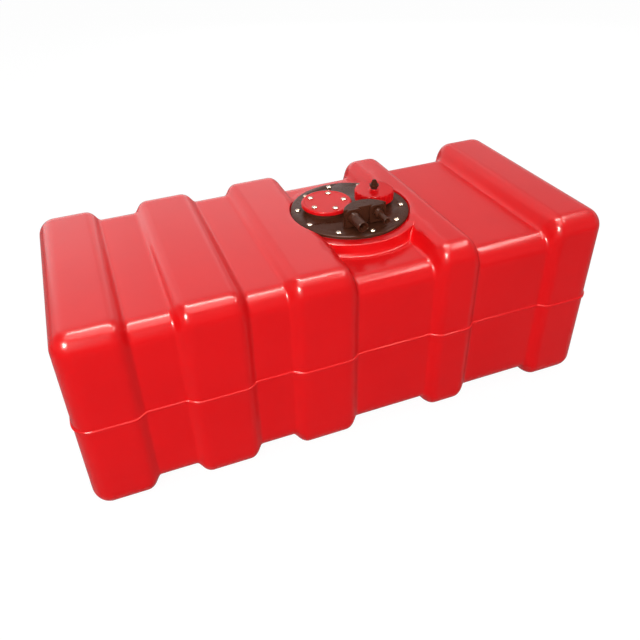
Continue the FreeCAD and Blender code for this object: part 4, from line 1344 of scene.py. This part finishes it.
@dataclass
class Studio:
    """Floor, background, lamps and camera."""

    floor_size: float = 40.0
    camera_place: Triple = (-0.31064, -0.82143, 0.76563)
    camera_tilt: Triple = (56.247, 2.324, -19.967)
    lens: float = 36.693
    shift: Point = (0.0413, -0.0609)
    far_end: float = 60.0
    ambient: float = 0.46
    floor_albedo: float = 0.38
    floor_white: float = 1.25
    seen_share: float = 0.75
    mirrored_share: float = 0.12
    lamps: tuple[Lamp, ...] = (
        Lamp("front_softbox", (-0.40, -0.73, 0.56), 2.5, (1.6, 1.6), 47.0, Reach.SURFACE),
        Lamp("back_softbox", (0.45, 0.80, 0.40), 2.5, (1.6, 1.6), 18.0, Reach.SURFACE),
        Lamp("left_strip", (0.0, 0.117, 1.0), 1.8, (1.3, 0.17), 74.0, Reach.GLOSS, WARMER, turn=-22.0),
        Lamp("right_strip", (0.55, -0.1, 0.84), 2.1, (1.4, 0.2), 44.0, Reach.GLOSS, WARM, turn=-14.0),
        Lamp("top_panel", (-0.14, -0.16, 1.0), 1.8, (1.4, 0.9), 44.0, Reach.GLOSS, WARM),
        Lamp("left_spark", (-0.58, -0.51, 0.63), 2.2, (0.6, 0.6), 200.0, Reach.GLOSS, SPARK),
        Lamp("back_glow", (-0.38, 0.72, 0.57), 3.0, (2.2, 4.2), 14.0, Reach.GLOSS),
        Lamp("back_fill", (-0.09, 0.81, 0.57), 3.2, (3.6, 4.6), 68.0, Reach.GLOSS),
    )

    def build(self) -> None:
        """Sets the stage."""
        bpy.context.scene.view_settings.view_transform = "Standard"
        self.make_floor()
        self.make_world()
        for lamp in self.lamps:
            lamp.hang()
        self.make_camera()

    @staticmethod
    def rays(tree: NodeTree) -> tuple[Wire, Wire]:
        """Tells the rays apart for which the background is white.

        Args:
            tree: The material's or world's tree.

        Returns:
            One for a ray from the camera, and one for a ray that a glossy or clear surface sends on.
        """
        path = tree.nodes.new("ShaderNodeLightPath")
        camera, glossy, clear = (Wire(path.outputs[f"Is {kind} Ray"])
                                 for kind in ("Camera", "Glossy", "Transmission"))
        return camera, glossy.at_least(clear)

    def make_floor(self) -> None:
        """Lays a pale floor that is nearly white to the camera and keeps a faint shadow of the tank."""
        half = self.floor_size / 2
        mesh = bpy.data.meshes.new("floor")
        corners = [(-half, -half, 0), (half, -half, 0), (half, half, 0), (-half, half, 0)]
        mesh.from_pydata(corners, [], [(0, 1, 2, 3)])
        floor = add_object("floor", mesh)
        material = bpy.data.materials.new("pale_floor")
        material.use_nodes = True
        tree = material.node_tree
        tree.nodes.remove(tree.nodes["Principled BSDF"])
        paper = add_node(tree, "ShaderNodeBsdfDiffuse", Color=(*[self.floor_albedo] * 3, 1.0))
        white = add_node(tree, "ShaderNodeEmission", Color=(*WHITE, 1.0), Strength=self.floor_white)
        camera, mirrored = self.rays(tree)
        mix = tree.nodes.new("ShaderNodeMixShader")
        share = (camera * self.seen_share).at_least(mirrored * self.mirrored_share)
        for slot, value in zip(mix.inputs, (share, paper, white)):
            connect(slot, value)
        connect(tree.nodes["Material Output"].inputs["Surface"], mix)
        mesh.materials.append(material)

    def make_world(self) -> None:
        """White behind the tank and in reflections, and even grey light elsewhere."""
        world = bpy.data.worlds.new("studio")
        bpy.context.scene.world = world
        world.use_nodes = True
        sky = world.node_tree.nodes["Background"]
        camera, mirrored = self.rays(world.node_tree)
        connect(sky.inputs["Color"], (*WHITE, 1.0))
        connect(sky.inputs["Strength"], camera.at_least(mirrored) * (1.0 - self.ambient) + self.ambient)

    def make_camera(self) -> None:
        """The camera, at the height and distance of a person who looks down at the tank."""
        lens = bpy.data.cameras.new("camera")
        lens.lens = self.lens
        lens.shift_x, lens.shift_y = self.shift
        lens.clip_end = self.far_end
        holder = add_object("camera", lens)
        holder.location = self.camera_place
        holder.rotation_euler = Euler([math.radians(angle) for angle in self.camera_tilt], "XYZ")
        bpy.context.scene.camera = holder


def main() -> None:
    """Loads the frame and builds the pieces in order."""
    logging.basicConfig(level=logging.INFO, format="%(name)s: %(message)s")
    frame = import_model()
    finishes = Finishes()
    Studio().build()
    TankShell(finishes.moulding).build()
    FlangePlate(finishes.black).build(frame)
    ScrewRing(finishes.steel, "flange_screw_ring", "flange_screws", "flange_gasket", count=10,
              circle=79.6 * MM, phase=19, seed=3).build()
    SenderCover(finishes.bright).build()
    ScrewRing(finishes.steel, "sender_screw_ring", "sender_screws", "sender_gasket", count=5,
              circle=27 * MM, phase=62, seed=8).build()
    FillerCap(finishes.bright).build()
    finishes.dress(frame)


if __name__ == "__main__":
    main()
